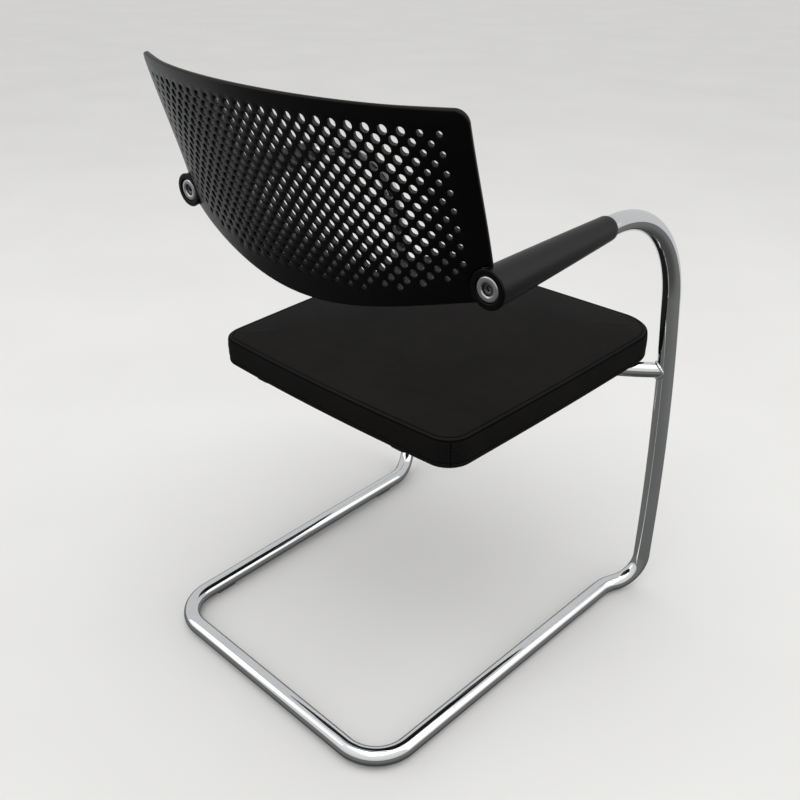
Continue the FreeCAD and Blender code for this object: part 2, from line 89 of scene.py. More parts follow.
# ------------------------------------------------------------------ meshes
def add_piece(name, verts_m, faces, material, replaces=(), smooth=True, sharp_deg=None):
    me = bpy.data.meshes.new(name)
    me.from_pydata([tuple(v) for v in verts_m], [], [tuple(f) for f in faces])
    me.validate(clean_customdata=False)
    me.update()
    me.polygons.foreach_set("use_smooth", [smooth] * len(me.polygons))
    if sharp_deg is not None:
        me.set_sharp_from_angle(angle=math.radians(sharp_deg))
    ob = bpy.data.objects.new(name, me)
    bpy.context.scene.collection.objects.link(ob)
    me.materials.append(material)
    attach(ob, "root")
    if replaces:
        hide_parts(*replaces)
    return ob


def grid_faces(rows, cols, offset=0, closed=True, flip=False):
    f = []
    n = cols if closed else cols - 1
    for r in range(rows - 1):
        for c in range(n):
            a = offset + r * cols + c
            b = offset + r * cols + (c + 1) % cols
            q = (a, b, b + cols, a + cols)
            f.append(q[::-1] if flip else q)
    return f


def frames_along(pts):
    """Rotation-minimising frames on a centre line."""
    pts = np.array(pts, float)
    t = np.gradient(pts, axis=0)
    t /= np.linalg.norm(t, axis=1)[:, None]
    up = np.array([0, 0, 1.0]) if abs(t[0][2]) < 0.9 else np.array([1.0, 0, 0])
    n = unit(np.cross(t[0], np.cross(up, t[0])))
    N = [n]
    for k in range(1, len(pts)):
        v1 = pts[k] - pts[k - 1]
        c1 = v1 @ v1
        r = N[-1] - v1 * (2 / c1) * (v1 @ N[-1])
        tt = t[k - 1] - v1 * (2 / c1) * (v1 @ t[k - 1])
        v2 = t[k] - tt
        c2 = v2 @ v2
        N.append(unit(r if c2 < 1e-14 else r - v2 * (2 / c2) * (v2 @ r)))
    N = np.array(N)
    return pts, t, N, np.cross(t, N)


def tube_rings(pts, radius, seg):
    pts, t, n, b = frames_along(pts)
    rad = np.broadcast_to(np.asarray(radius, float).reshape(-1, 1, 1), (len(pts), 1, 1)) if np.ndim(radius) else radius
    a = np.linspace(0, 2 * math.pi, seg, endpoint=False)
    ring = n[:, None, :] * np.cos(a)[None, :, None] + b[:, None, :] * np.sin(a)[None, :, None]
    return pts[:, None, :] + ring * rad


def closed_curve_tube(pts, radius, seg):
    """Tube round a closed loop of points."""
    pts = np.array(pts, float)
    m = len(pts)
    t = np.roll(pts, -1, 0) - np.roll(pts, 1, 0)
    t /= np.linalg.norm(t, axis=1)[:, None]
    c = pts.mean(0)
    out = pts - c
    out -= t * (out * t).sum(1)[:, None]
    out /= np.linalg.norm(out, axis=1)[:, None]
    b = np.cross(t, out)
    a = np.linspace(0, 2 * math.pi, seg, endpoint=False)
    rad = np.broadcast_to(np.asarray(radius, float).reshape(-1, 1, 1), (m, 1, 1)) if np.ndim(radius) else radius
    ring = out[:, None, :] * np.cos(a)[None, :, None] + b[:, None, :] * np.sin(a)[None, :, None]
    v = (pts[:, None, :] + ring * rad).reshape(-1, 3)
    f = []
    for r in range(m):
        for k in range(seg):
            f.append((r * seg + k, r * seg + (k + 1) % seg, ((r + 1) % m) * seg + (k + 1) % seg, ((r + 1) % m) * seg + k))
    return v, f


class Walk:
    """Centre line of straight runs and tangent arcs, sampled."""

    def __init__(self, p, d):
        self.p, self.d = np.array(p, float), unit(d)
        self.pts = [self.p.copy()]

    def run(self, length, step=12.0):
        n = max(1, int(round(length / step)))
        for k in range(1, n + 1):
            self.pts.append(self.p + self.d * length * k / n)
        self.p = self.pts[-1].copy()

    def turn(self, axis, radius, angle, step=2.4):
        axis = unit(axis)
        c = self.p + np.cross(axis, self.d) * radius * (1 if angle >= 0 else -1)
        n = max(6, int(abs(radius * angle) / step))
        v = self.p - c
        for k in range(1, n + 1):
            self.pts.append(c + rotv(v, axis, angle * k / n))
        self.p = self.pts[-1].copy()
        self.d = rotv(self.d, axis, angle)


def lathe(profile, seg, origin, axis, closed_profile=True):
    """Turned piece: profile is (a, r) pairs, a along the axis from origin."""
    axis = unit(axis)
    side = unit(np.cross([0, 0, 1.0], axis)) if abs(axis[2]) < 0.9 else np.array([1.0, 0, 0])
    upv = np.cross(axis, side)
    ang = np.linspace(0, 2 * math.pi, seg, endpoint=False)
    rows = []
    for a, r in profile:
        rows.append(np.array(origin)[None] + axis[None] * a + r * (side[None] * np.cos(ang)[:, None] + upv[None] * np.sin(ang)[:, None]))
    v = np.concatenate(rows)
    f = grid_faces(len(profile), seg)
    if closed_profile:
        base = (len(profile) - 1) * seg
        for c in range(seg):
            f.append((base + c, base + (c + 1) % seg, (c + 1) % seg, c))
    return v, f


def arc_profile(c, r, a0, a1, n):
    """Points of a fillet in the (a, r) half plane, angles in degrees."""
    return [(c[0] + r * math.cos(math.radians(a0 + (a1 - a0) * k / n)),
             c[1] + r * math.sin(math.radians(a0 + (a1 - a0) * k / n))) for k in range(n + 1)]


# ------------------------------------------------------------------ materials
class Mat:
    def __init__(self, name, base, rough, metallic=0.0, spec=0.5):
        m = bpy.data.materials.new(name)
        m.use_nodes = True
        self.m, self.t = m, m.node_tree
        self.b = self.t.nodes["Principled BSDF"]
        self.b.inputs["Base Color"].default_value = (*base, 1)
        self.b.inputs["Roughness"].default_value = rough
        self.b.inputs["Metallic"].default_value = metallic
        self.b.inputs["Specular IOR Level"].default_value = spec
        self.co = self.n("ShaderNodeTexCoord")

    def n(self, kind, **kw):
        x = self.t.nodes.new(kind)
        for k, v in kw.items():
            setattr(x, k, v)
        return x

    def link(self, a, b):
        self.t.links.new(a, b)

    def noise(self, scale, detail=3.0, rough=0.55, source=None, distort=0.0):
        x = self.n("ShaderNodeTexNoise")
        x.inputs["Scale"].default_value = scale
        x.inputs["Detail"].default_value = detail
        x.inputs["Roughness"].default_value = rough
        x.inputs["Distortion"].default_value = distort
        self.link(source or self.co.outputs["Object"], x.inputs["Vector"])
        return x.outputs["Fac"]

    def remap(self, fac, lo, hi, a=0.3, b=0.7):
        x = self.n("ShaderNodeMapRange")
        x.inputs["From Min"].default_value = a
        x.inputs["From Max"].default_value = b
        x.inputs["To Min"].default_value = lo
        x.inputs["To Max"].default_value = hi
        self.link(fac, x.inputs["Value"])
        return x.outputs["Result"]

    def mixcol(self, fac, c0, c1, a=0.3, b=0.7):
        x = self.n("ShaderNodeValToRGB")
        e = x.color_ramp.elements
        e[0].position, e[1].position = a, b
        e[0].color, e[1].color = (*c0, 1), (*c1, 1)
        self.link(fac, x.inputs["Fac"])
        return x.outputs["Color"]

    def math(self, op, a, b=None, c=None):
        x = self.n("ShaderNodeMath", operation=op)
        for k, v in enumerate((a, b, c)):
            if v is None:
                continue
            if isinstance(v, (int, float)):
                x.inputs[k].default_value = v
            else:
                self.link(v, x.inputs[k])
        return x.outputs[0]

    def bump(self, height, distance, strength=1.0, after=None):
        x = self.n("ShaderNodeBump")
        x.inputs["Strength"].default_value = strength
        x.inputs["Distance"].default_value = distance
        self.link(height, x.inputs["Height"])
        if after is not None:
            self.link(after, x.inputs["Normal"])
        return x.outputs["Normal"]

    def out(self, color=None, rough=None, normal=None):
        if color is not None:
            self.link(color, self.b.inputs["Base Color"])
        if rough is not None:
            self.link(rough, self.b.inputs["Roughness"])
        if normal is not None:
            self.link(normal, self.b.inputs["Normal"])
        return self.m


def make_chrome(name="chrome_plate"):
    x = Mat(name, (0.83, 0.84, 0.85), 0.06, 1.0)
    smudge = x.noise(9.0, 4, 0.6)
    fine = x.noise(160.0, 3, 0.6)
    col = x.mixcol(smudge, (0.78, 0.79, 0.80), (0.86, 0.865, 0.87))
    r1 = x.remap(smudge, 0.035, 0.085, 0.35, 0.70)
    r2 = x.remap(fine, -0.012, 0.018)
    rough = x.math("ADD", r1, r2)
    peel = x.noise(45.0, 2, 0.4)
    n1 = x.bump(peel, 0.00002, 0.55)
    n2 = x.bump(fine, 0.000004, 0.6, n1)
    return x.out(col, rough, n2)


def make_shell_plastic():
    x = Mat("shell_moulded_black", (0.0012, 0.0012, 0.0014), 0.30, 0.0, 0.16)
    big = x.noise(14.0, 3, 0.5)
    grain = x.noise(2600.0, 2, 0.5)
    mid = x.noise(420.0, 3, 0.6)
    col = x.mixcol(big, (0.0009, 0.0009, 0.0011), (0.0016, 0.0015, 0.0017))
    r1 = x.remap(big, 0.27, 0.34)
    r2 = x.remap(mid, -0.03, 0.03)
    n1 = x.bump(grain, 0.00004, 0.55)
    n2 = x.bump(mid, 0.00003, 0.35, n1)
    return x.out(col, x.math("ADD", r1, r2), n2)


def make_shell_bore():
    """The walls of the punched pattern come off polished pins, so they shine more than the grained faces."""
    x = Mat("shell_bore_black", (0.0022, 0.0022, 0.0024), 0.28, 0.0, 0.36)
    big = x.noise(120.0, 3, 0.5)
    fine = x.noise(900.0, 2, 0.5)
    return x.out(x.mixcol(big, (0.0016, 0.0016, 0.0018), (0.0030, 0.0029, 0.0031)), x.remap(fine, 0.24, 0.34), x.bump(fine, 0.00002, 0.3))


def make_pad_plastic():
    x = Mat("pad_soft_plastic", (0.0038, 0.0038, 0.0040), 0.38, 0.0, 0.28)
    big = x.noise(11.0, 3, 0.5)
    grain = x.noise(1500.0, 3, 0.6)
    pores = x.n("ShaderNodeTexVoronoi", feature="DISTANCE_TO_EDGE")
    pores.inputs["Scale"].default_value = 900.0
    x.link(x.co.outputs["Object"], pores.inputs["Vector"])
    col = x.mixcol(big, (0.0028, 0.0028, 0.0030), (0.0052, 0.0052, 0.0054))
    rough = x.remap(big, 0.33, 0.43)
    edge = x.remap(pores.outputs["Distance"], 0.0, 1.0, 0.0, 0.14)
    n1 = x.bump(edge, 0.00005, 0.4)
    n2 = x.bump(grain, 0.00003, 0.5, n1)
    return x.out(col, rough, n2)


def make_fabric():
    x = Mat("seat_woven_black", (0.0065, 0.0062, 0.0062), 0.90, 0.0, 0.08)
    x.b.inputs["Sheen Weight"].default_value = 0.018
    x.b.inputs["Sheen Roughness"].default_value = 0.45
    x.b.inputs["Sheen Tint"].default_value = (0.62, 0.60, 0.63, 1)
    sep = x.n("ShaderNodeSeparateXYZ")
    x.link(x.co.outputs["Object"], sep.inputs[0])
    nrm = x.n("ShaderNodeSeparateXYZ")
    x.link(x.co.outputs["Normal"], nrm.inputs[0])
    pitch = 0.00085
    k = 2 * math.pi / pitch
    wob = x.noise(700.0, 2, 0.5)
    wob2 = x.math("MULTIPLY", wob, 1.6)
    s = []
    for i in range(3):
        ph = x.math("ADD", x.math("MULTIPLY", sep.outputs[i], k), wob2)
        s.append(x.math("SINE", ph))

    def weave(a, b):
        return x.math("MULTIPLY", s[a], s[b])
    w = [x.math("MULTIPLY", x.math("ABSOLUTE", nrm.outputs[i]), 1.0) for i in range(3)]
    total = x.math("ADD", x.math("ADD", x.math("MULTIPLY", weave(1, 2), w[0]), x.math("MULTIPLY", weave(0, 2), w[1])),
                   x.math("MULTIPLY", weave(0, 1), w[2]))
    height = x.remap(total, 0.0, 1.0, -1.0, 1.0)
    fuzz = x.noise(3800.0, 2, 0.6)
    big = x.noise(8.0, 4, 0.6)
    mid = x.noise(60.0, 3, 0.6)
    tone = x.math("ADD", x.math("MULTIPLY", height, 0.35), x.math("ADD", x.math("MULTIPLY", big, 0.40), x.math("MULTIPLY", mid, 0.25)))
    col0 = x.mixcol(tone, (0.0046, 0.0041, 0.0038), (0.0112, 0.0101, 0.0093), 0.30, 0.72)
    # painted shade: a per-vertex attribute multiplies the base colour down towards near black in the seam grooves,
    # along the hem and in the rows beside the topstitch
    seam_painted_shade = x.n("ShaderNodeAttribute", attribute_name="seam_painted_shade")
    seam_shade_mix = x.n("ShaderNodeMix", data_type="RGBA", blend_type="MULTIPLY")
    x.link(x.math("MINIMUM", x.math("MULTIPLY", seam_painted_shade.outputs["Fac"], 1.6), 1.0), seam_shade_mix.inputs[0])
    x.link(col0, seam_shade_mix.inputs[6])
    seam_shade_mix.inputs[7].default_value = (0.03, 0.03, 0.03, 1)
    col = seam_shade_mix.outputs[2]
    rough = x.remap(height, 0.93, 0.80, 0.0, 1.0)
    pucker = x.n("ShaderNodeAttribute", attribute_name="pucker")
    slow = x.noise(90.0, 2, 0.5)
    ripple = x.math("SINE", x.math("ADD", x.math("MULTIPLY", sep.outputs[2], 2 * math.pi / 0.0031), x.math("MULTIPLY", slow, 7.0)))
    n0 = x.bump(x.math("MULTIPLY", x.math("MULTIPLY", ripple, 0.5), pucker.outputs["Fac"]), 0.0022, 1.0)
    n1 = x.bump(height, 0.00018, 0.55, n0)
    n2 = x.bump(fuzz, 0.00006, 0.35, n1)
    return x.out(col, rough, n2)


def make_thread():
    x = Mat("stitch_thread", (0.0030, 0.0029, 0.0031), 0.75, 0.0, 0.2)
    f = x.noise(5200.0, 2, 0.5)
    col = x.mixcol(f, (0.0016, 0.0015, 0.0017), (0.0044, 0.0042, 0.0045))
    return x.out(col, x.remap(f, 0.5, 0.7), x.bump(f, 0.00004, 0.6))


def make_washer_steel():
    x = Mat("washer_turned_steel", (0.60, 0.60, 0.605), 0.30, 1.0)
    sep = x.n("ShaderNodeSeparateXYZ")
    x.link(x.co.outputs["Object"], sep.inputs[0])
    r2 = x.math("ADD", x.math("MULTIPLY", sep.outputs[0], sep.outputs[0]), x.math("MULTIPLY", sep.outputs[2], sep.outputs[2]))
    r = x.math("SQRT", r2)
    comb = x.n("ShaderNodeCombineXYZ")
    x.link(x.math("MULTIPLY", r, 5200.0), comb.inputs[0])
    rings = x.noise(1.0, 3, 0.6, comb.outputs[0])
    speck = x.noise(900.0, 3, 0.6)
    col = x.mixcol(speck, (0.56, 0.56, 0.565), (0.68, 0.68, 0.68))
    rough = x.remap(rings, 0.22, 0.36)
    n1 = x.bump(rings, 0.00002, 0.7)
    return x.out(col, rough, n1)


def make_steel(name, c0, c1, r0, r1, scale=300.0, metallic=1.0):
    x = Mat(name, c0, r0, metallic)
    a = x.noise(scale, 4, 0.6)
    b = x.noise(scale * 0.08, 3, 0.6)
    col = x.mixcol(x.math("ADD", x.math("MULTIPLY", a, 0.5), x.math("MULTIPLY", b, 0.5)), c0, c1)
    return x.out(col, x.remap(a, r0, r1), x.bump(a, 0.00002, 0.5))


def make_rubber(name, c0, c1, r0=0.62, r1=0.78):
    x = Mat(name, c0, r0)
    a = x.noise(700.0, 3, 0.6)
    b = x.noise(35.0, 3, 0.6)
    return x.out(x.mixcol(b, c0, c1), x.remap(a, r0, r1), x.bump(a, 0.00004, 0.6))


def make_foam():
    x = Mat("seat_foam_open_cell", (0.72, 0.66, 0.45), 0.95)
    v = x.n("ShaderNodeTexVoronoi")
    v.inputs["Scale"].default_value = 900.0
    x.link(x.co.outputs["Object"], v.inputs["Vector"])
    return x.out(x.mixcol(v.outputs["Distance"], (0.60, 0.54, 0.34), (0.80, 0.74, 0.54), 0.1, 0.7), None,
                 x.bump(v.outputs["Distance"], 0.0003, 0.7))


def make_plywood():
    x = Mat("seat_pan_beech_ply", (0.60, 0.43, 0.27), 0.55)
    mp = x.n("ShaderNodeMapping")
    mp.inputs["Scale"].default_value = (6.0, 90.0, 600.0)
    x.link(x.co.outputs["Object"], mp.inputs["Vector"])
    g = x.noise(1.0, 5, 0.6, mp.outputs[0], 0.6)
    return x.out(x.mixcol(g, (0.46, 0.31, 0.18), (0.70, 0.53, 0.35)), x.remap(g, 0.45, 0.65), x.bump(g, 0.0001, 0.5))


def make_panel():
    x = Mat("underside_panel_black", (0.016, 0.016, 0.017), 0.62)
    a = x.noise(1300.0, 3, 0.6)
    b = x.noise(20.0, 3, 0.5)
    return x.out(x.mixcol(b, (0.013, 0.013, 0.014), (0.022, 0.022, 0.023)), x.remap(a, 0.52, 0.72), x.bump(a, 0.00008, 0.7))


chrome = make_chrome()
shell_black = make_shell_plastic()
shell_bore = make_shell_bore()
pad_black = make_pad_plastic()
fabric = make_fabric()
thread = make_thread()
washer_steel = make_washer_steel()
screw_black = make_steel("screw_black_oxide", (0.10, 0.10, 0.10), (0.20, 0.20, 0.195), 0.22, 0.36, 700.0)
zinc = make_steel("zinc_plated_steel", (0.55, 0.55, 0.52), (0.70, 0.70, 0.68), 0.28, 0.45, 260.0)
bracket_paint = make_steel("bracket_satin_black", (0.018, 0.018, 0.019), (0.032, 0.032, 0.033), 0.38, 0.52, 900.0, 0.0)
rubber = make_rubber("bush_rubber", (0.016, 0.016, 0.016), (0.028, 0.028, 0.028))
glide_plastic = make_rubber("glide_nylon", (0.020, 0.020, 0.021), (0.035, 0.035, 0.036), 0.45, 0.62)
foam = make_foam()
plywood = make_plywood()
panel_black = make_panel()

# ------------------------------------------------------------------ camera
CAM = np.array([-788.92, 547.76, 988.02])
PITCH, YAW, F_PX = 0.50303, 0.76597, 913.64
fwd = np.array([math.sin(math.pi - YAW) * math.cos(PITCH) * -1 * -1, -math.cos(YAW) * math.cos(PITCH), -math.sin(PITCH)])
fwd[0] = math.sin(YAW) * math.cos(PITCH)
right = unit(np.cross(fwd, [0, 0, 1.0]))
up = np.cross(right, fwd)
cam_data = bpy.data.cameras.new("camera")
cam = bpy.data.objects.new("camera", cam_data)
bpy.context.scene.collection.objects.link(cam)
rot = Matrix([[right[i], up[i], -fwd[i]] for i in range(3)])
cam.matrix_world = Matrix.Translation(Vector(world(CAM)[0])) @ rot.to_4x4()
cam_data.sensor_width = 36.0
cam_data.sensor_fit = "HORIZONTAL"
cam_data.lens = F_PX / 800.0 * 36.0
cam_data.clip_start, cam_data.clip_end = 0.05, 100.0
bpy.context.scene.camera = cam

# ------------------------------------------------------------------ frame tube
arm_dir = np.array([0.0, -math.cos(ARM_RISE), math.sin(ARM_RISE)])
eye = np.array([-ARM_X, EYE_Y, EYE_Z])
turn_corner = math.pi / 2 - RUN_SPLAY
half_bar = RUN_HALF - REAR_CORNER_R * math.tan(turn_corner / 2)
w = Walk((-half_bar, 0, BASE_Z), (-1, 0, 0))
w.turn((0, 0, 1), REAR_CORNER_R, turn_corner)
w.run((RUN_END_Y - w.p[1]) / w.d[1])
w.turn((0, 0, 1), KINK_R, -KINK_ANGLE)
w.run(KINK_STRAIGHT)
w.turn(np.cross(w.d, [0, 0, 1.0]), FOOT_BEND_R, math.pi / 2)
w.run(UPRIGHT_STRAIGHT)
w.turn((1, 0, 0), UPRIGHT_R, -UPRIGHT_LEAN, 6.0)
bend = math.pi / 2 - UPRIGHT_LEAN + ARM_RISE
probe = Walk(w.p, w.d)
probe.turn((1, 0, 0), ARM_BEND_R, -bend)
upv = unit(np.cross([1.0, 0, 0], -arm_dir))
lead = -((probe.p - eye) @ upv) / (w.d @ upv)
w.run(lead)
w.turn((1, 0, 0), ARM_BEND_R, -bend)
AX = -w.p[0]
tip = eye + arm_dir * TUBE_END
tip[0] = w.p[0]
w.run((tip - w.p) @ (-arm_dir))
side_pts = np.array(w.pts)


def along(a, sx):
    """Point on the arm axis, a mm forward of the cup washer's rear face."""
    q = eye + arm_dir * a
    return np.array([AX * sx, q[1], q[2]])


mirror = np.array([-1.0, 1.0, 1.0])
n_mid = int(2 * half_bar / 12)
mid_pts = np.stack([np.linspace(half_bar, -half_bar, n_mid + 1), np.zeros(n_mid + 1), np.full(n_mid + 1, BASE_Z)], 1)[1:-1]
spine = np.concatenate([(side_pts * mirror)[::-1], mid_pts, side_pts])
keep = np.concatenate([[True], np.linalg.norm(np.diff(spine, axis=0), axis=1) > 0.05])
spine = spine[keep]
SEG = 64
outer = tube_rings(spine, TUBE_R, SEG)
inner = tube_rings(spine, TUBE_R - TUBE_WALL, SEG)
m = len(spine)
v = np.concatenate([outer.reshape(-1, 3), inner.reshape(-1, 3)])
f = grid_faces(m, SEG) + grid_faces(m, SEG, m * SEG, flip=True)
for c in range(SEG):
    d = (c + 1) % SEG
    f.append((d, c, m * SEG + c, m * SEG + d))
    e = (m - 1) * SEG
    f.append((e + c, e + d, m * SEG + e + d, m * SEG + e + c))
add_piece("main_frame_tube", world(v), f, chrome, ["frame_tube"], sharp_deg=50)

# ------------------------------------------------------------------ seat frame helpers
cs, sn = math.cos(SEAT_SLOPE), math.sin(SEAT_SLOPE)


def seat_to_row(p):
    """Seat's own flat frame (x, depth from the rear edge, height above the underside) to millimetres."""
    p = np.array(p, float).reshape(-1, 3)
    y, z = p[:, 1], p[:, 2]
    return np.stack([p[:, 0], SEAT_REAR_Y + y * cs + z * sn, SEAT_UNDER_Z - y * sn + z * cs], 1)


def sy(y):
    return (y - SEAT_REAR_Y) / cs


# ------------------------------------------------------------------ support bow and welds
e0 = seat_to_row([[0, sy(BOW_END_Y), -BOW_DROP]])[0]
e1 = seat_to_row([[0, sy(BOW_APEX_Y), -BOW_DROP]])[0]
sag = math.hypot(e1[1] - e0[1], e1[2] - e0[2])
bow_rad = (AX * AX + sag * sag) / (2 * sag)
inward = unit(e0 - e1)          # from the apex towards the chord's middle
bow_c = e1 + inward * bow_rad
half_ang = math.asin(AX / bow_rad)
angs = np.linspace(-half_ang, half_ang, 121)
bow_pts = bow_c[None] - inward[None] * (bow_rad * np.cos(angs))[:, None] + np.array([1.0, 0, 0])[None] * (bow_rad * np.sin(angs))[:, None]
rings = tube_rings(bow_pts, BOW_R, 48)
k_up = int(np.argmin(np.abs(side_pts[:, 2] - e0[2]) + 1e3 * (side_pts[:, 1] > -500)))
u_dir = unit(side_pts[k_up + 1] - side_pts[k_up - 1])


def hit_upright(p, d, r, sx):
    """First point on the line p + d s that is r from the upright's axis, coming from inside the chair."""
    u = u_dir * np.array([sx * -1, 1, 1]) if sx > 0 else u_dir
    c = side_pts[k_up] * (np.array([-1, 1, 1]) if sx > 0 else 1)
    q = p - c
    qn = q - u * (q @ u)
    dn = d - u * (d @ u)
    A, B, C = dn @ dn, 2 * qn @ dn, qn @ qn - r * r
    disc = B * B - 4 * A * C
    if disc <= 0:
        return None
    s = (-B + math.sqrt(disc)) / (2 * A)
    return p + d * s


vb = rings.copy()
n_b = len(bow_pts)
weld_paths = {}
for end, sx in ((0, -1), (n_b - 1, 1)):
    inner_i = 4 if end == 0 else n_b - 5
    t_in = unit(bow_pts[inner_i] - bow_pts[end])       # points into the chair
    loop = []
    for k in range(rings.shape[1]):
        h = hit_upright(rings[end][k], t_in, TUBE_R - 0.2, sx)
        vb[end][k] = h
        for step in (1, 2, 3):
            j = end + step if end == 0 else end - step
            # rows near the cope slide inwards so that none lies beyond it
            base = rings[end][k] + t_in * (t_in @ (rings[inner_i][k] - rings[end][k])) * step / 4.0
            reach = t_in @ (h - rings[end][k])
            full = t_in @ (rings[inner_i][k] - rings[end][k])
            vb[j][k] = rings[end][k] + t_in * (reach + (full - reach) * step / 4.0) + (rings[j][k] - base) * 0.0
        loop.append(h)
    # weld fillet: a little outside both tubes
    center = bow_pts[end]
    bead = []
    for k in range(rings.shape[1]):
        rad_dir = unit(rings[end][k] - center)
        p0 = center + rad_dir * (BOW_R + 0.7)
        bead.append(hit_upright(p0, t_in, TUBE_R + 0.7, sx))
    weld_paths[sx] = np.array(bead)
fb = grid_faces(n_b, rings.shape[1])
fb.append(tuple(range(rings.shape[1]))[::-1])
fb.append(tuple((n_b - 1) * rings.shape[1] + k for k in range(rings.shape[1])))
add_piece("seat_support_bow_tube", world(vb.reshape(-1, 3)), fb, chrome, ["seat_support_bow"], sharp_deg=50)
for sx, nm in ((-1, "right"), (1, "left")):
    p = weld_paths[sx]
    q = np.concatenate([p, p[:1]])
    fine = []
    for k in range(len(p)):
        for s in range(3):
            fine.append(q[k] + (q[k + 1] - q[k]) * s / 3)
    fine = np.array(fine)
    ripple = 1.9 + 0.16 * np.sin(np.arange(len(fine)) * 2 * math.pi * 26 / len(fine))
    vw, fw = closed_curve_tube(fine, ripple, 12)
    add_piece("bow_weld_bead_" + nm, world(vw), fw, chrome)

# ------------------------------------------------------------------ flat pieces with holes
def offset_loop(loop, d):
    """Closed 2D loop moved inwards by d (counter-clockwise loop)."""
    loop = np.array(loop, float)
    t = np.roll(loop, -1, 0) - np.roll(loop, 1, 0)
    t /= np.maximum(np.linalg.norm(t, axis=1), 1e-12)[:, None]
    n = np.stack([-t[:, 1], t[:, 0]], 1)
    return loop + n * d


def in_loop(pts, loop):
    x, y = pts[:, 0], pts[:, 1]
    inside = np.zeros(len(pts), bool)
    a = loop
    b = np.roll(loop, -1, 0)
    for (x0, y0), (x1, y1) in zip(a, b):
        c = (y0 > y) != (y1 > y)
        if not c.any():
            continue
        inside ^= c & (x < (x1 - x0) * (y - y0) / (y1 - y0 + 1e-30) + x0)
    return inside


def holed_plate(outline, holes, thick, place, edge, hole_edge, seg, extra):
    """A plate in (s, t): outline loop (ccw), round holes (s, t, r), and place(s, t, depth) giving 3D points.
    edge and hole_edge are lists of (inset, depth) rows that round the rims, from the rear face to the front."""
    outline = np.array(outline, float)
    n_o = len(outline)
    in0 = edge[0][0]
    loop0 = offset_loop(outline, in0)
    ca, sa = np.cos(np.linspace(0, 2 * math.pi, seg, endpoint=False)), np.sin(np.linspace(0, 2 * math.pi, seg, endpoint=False))
    pts2 = [tuple(p) for p in loop0]
    cons = [(k, (k + 1) % n_o) for k in range(n_o)]
    for (s, t, r) in holes:
        base = len(pts2)
        rr = r + hole_edge[0][0]
        pts2 += [(s + rr * c_, t + rr * s_) for c_, s_ in zip(ca, sa)]
        cons += [(base + k, base + (k + 1) % seg) for k in range(seg)]
    base_extra = len(pts2)
    pts2 += [tuple(p) for p in extra]
    res = delaunay_2d_cdt([Vector(p) for p in pts2], cons, [], 0, 1e-6)
    vo, tri, orig = res[0], res[2], res[3]
    P2 = np.array([[q.x, q.y] for q in vo])
    T = np.array([t_ for t_ in tri if len(t_) == 3], int)
    cen = P2[T].mean(1)
    ok = in_loop(cen, loop0)
    hs = np.array([(s, t, (r + hole_edge[0][0])) for s, t, r in holes]) if len(holes) else np.zeros((0, 3))
    if len(hs):
        for k0 in range(0, len(cen), 4000):
            c = cen[k0:k0 + 4000]
            d2 = (c[:, None, 0] - hs[None, :, 0]) ** 2 + (c[:, None, 1] - hs[None, :, 1]) ** 2
            ok[k0:k0 + 4000] &= ~(d2 < (hs[None, :, 2] ** 2) * 0.985).any(1)
    T = T[ok]
    # orientation
    a, b, c = P2[T[:, 0]], P2[T[:, 1]], P2[T[:, 2]]
    cr = (b[:, 0] - a[:, 0]) * (c[:, 1] - a[:, 1]) - (b[:, 1] - a[:, 1]) * (c[:, 0] - a[:, 0])
    T = T[np.abs(cr) > 1e-9]
    cr = cr[np.abs(cr) > 1e-9]
    T[cr < 0] = T[cr < 0][:, ::-1]
    lookup = {}
    for new, olds in enumerate(orig):
        for o_ in olds:
            lookup[o_] = new
    n2 = len(P2)
    V = [place(P2[:, 0], P2[:, 1], 0.0), place(P2[:, 0], P2[:, 1], thick)]
    F = [tuple(t_) for t_ in T] + [tuple(n2 + i for i in t_[::-1]) for t_ in T]
    count = 2 * n2
    outer_rows = []

    def rim(first, rows, loops_xy):
        """first: vertex ids on the rear face; rows between; ends on the front face's ids."""
        nonlocal count
        ids = [first]
        for (xy, depth) in loops_xy:
            V.append(place(xy[:, 0], xy[:, 1], depth))
            ids.append(list(range(count, count + len(xy))))
            count += len(xy)
        ids.append([i + n2 for i in first])
        if rows > 0:
            outer_rows.extend(ids)
        nn = len(first)
        for r0, r1 in zip(ids[:-1], ids[1:]):
            for k in range(nn):
                kk = (k + 1) % nn
                F.append((r0[kk], r0[k], r1[k], r1[kk]) if rows > 0 else (r0[k], r0[kk], r1[kk], r1[k]))
    first = [lookup[k] for k in range(n_o)]
    rim(first, 1, [(offset_loop(outline, i_), d_) for i_, d_ in edge[1:-1]])
    b0 = n_o
    for (s, t, r) in holes:
        first = [lookup[b0 + k] for k in range(seg)]
        rows = []
        for i_, d_ in hole_edge[1:-1]:
            rr = r + i_
            rows.append((np.stack([s + rr * ca, t + rr * sa], 1), d_))
        rim(first, -1, rows)
        b0 += seg
    return np.concatenate(V), F, outer_rows


# ------------------------------------------------------------------ back shell
S_C2, S_C4, S_KT, S_KS, S_K3, S_KZ = 5.954e-4, 1.08e-9, -1.573e-4, -2.061e-4, 2.67e-6, -1.358e-4
S_OY, S_OZ, S_TILT = -68.34, 719.9, 0.2946
_s_tab = np.linspace(0, 300, 1201)
_dx = np.sqrt(np.maximum(1 - (2 * S_C2 * _s_tab + 4 * S_C4 * _s_tab ** 3) ** 2, 0.01))
_x_tab = np.concatenate([[0], np.cumsum((_dx[1:] + _dx[:-1]) / 2 * np.diff(_s_tab))])


def shell_surface(s, t):
    s, t = np.asarray(s, float), np.asarray(t, float)
    x = np.sign(s) * np.interp(np.abs(s), _s_tab, _x_tab)
    y = -(S_C2 * s * s + S_C4 * s ** 4) * (1 + S_KS * t) - S_KT * t * t - S_K3 * t ** 3
    z = t + S_KZ * s * s
    ct, st = math.cos(S_TILT), math.sin(S_TILT)
    return np.stack([-x, S_OY + y * ct + z * st, S_OZ - y * st + z * ct], -1)


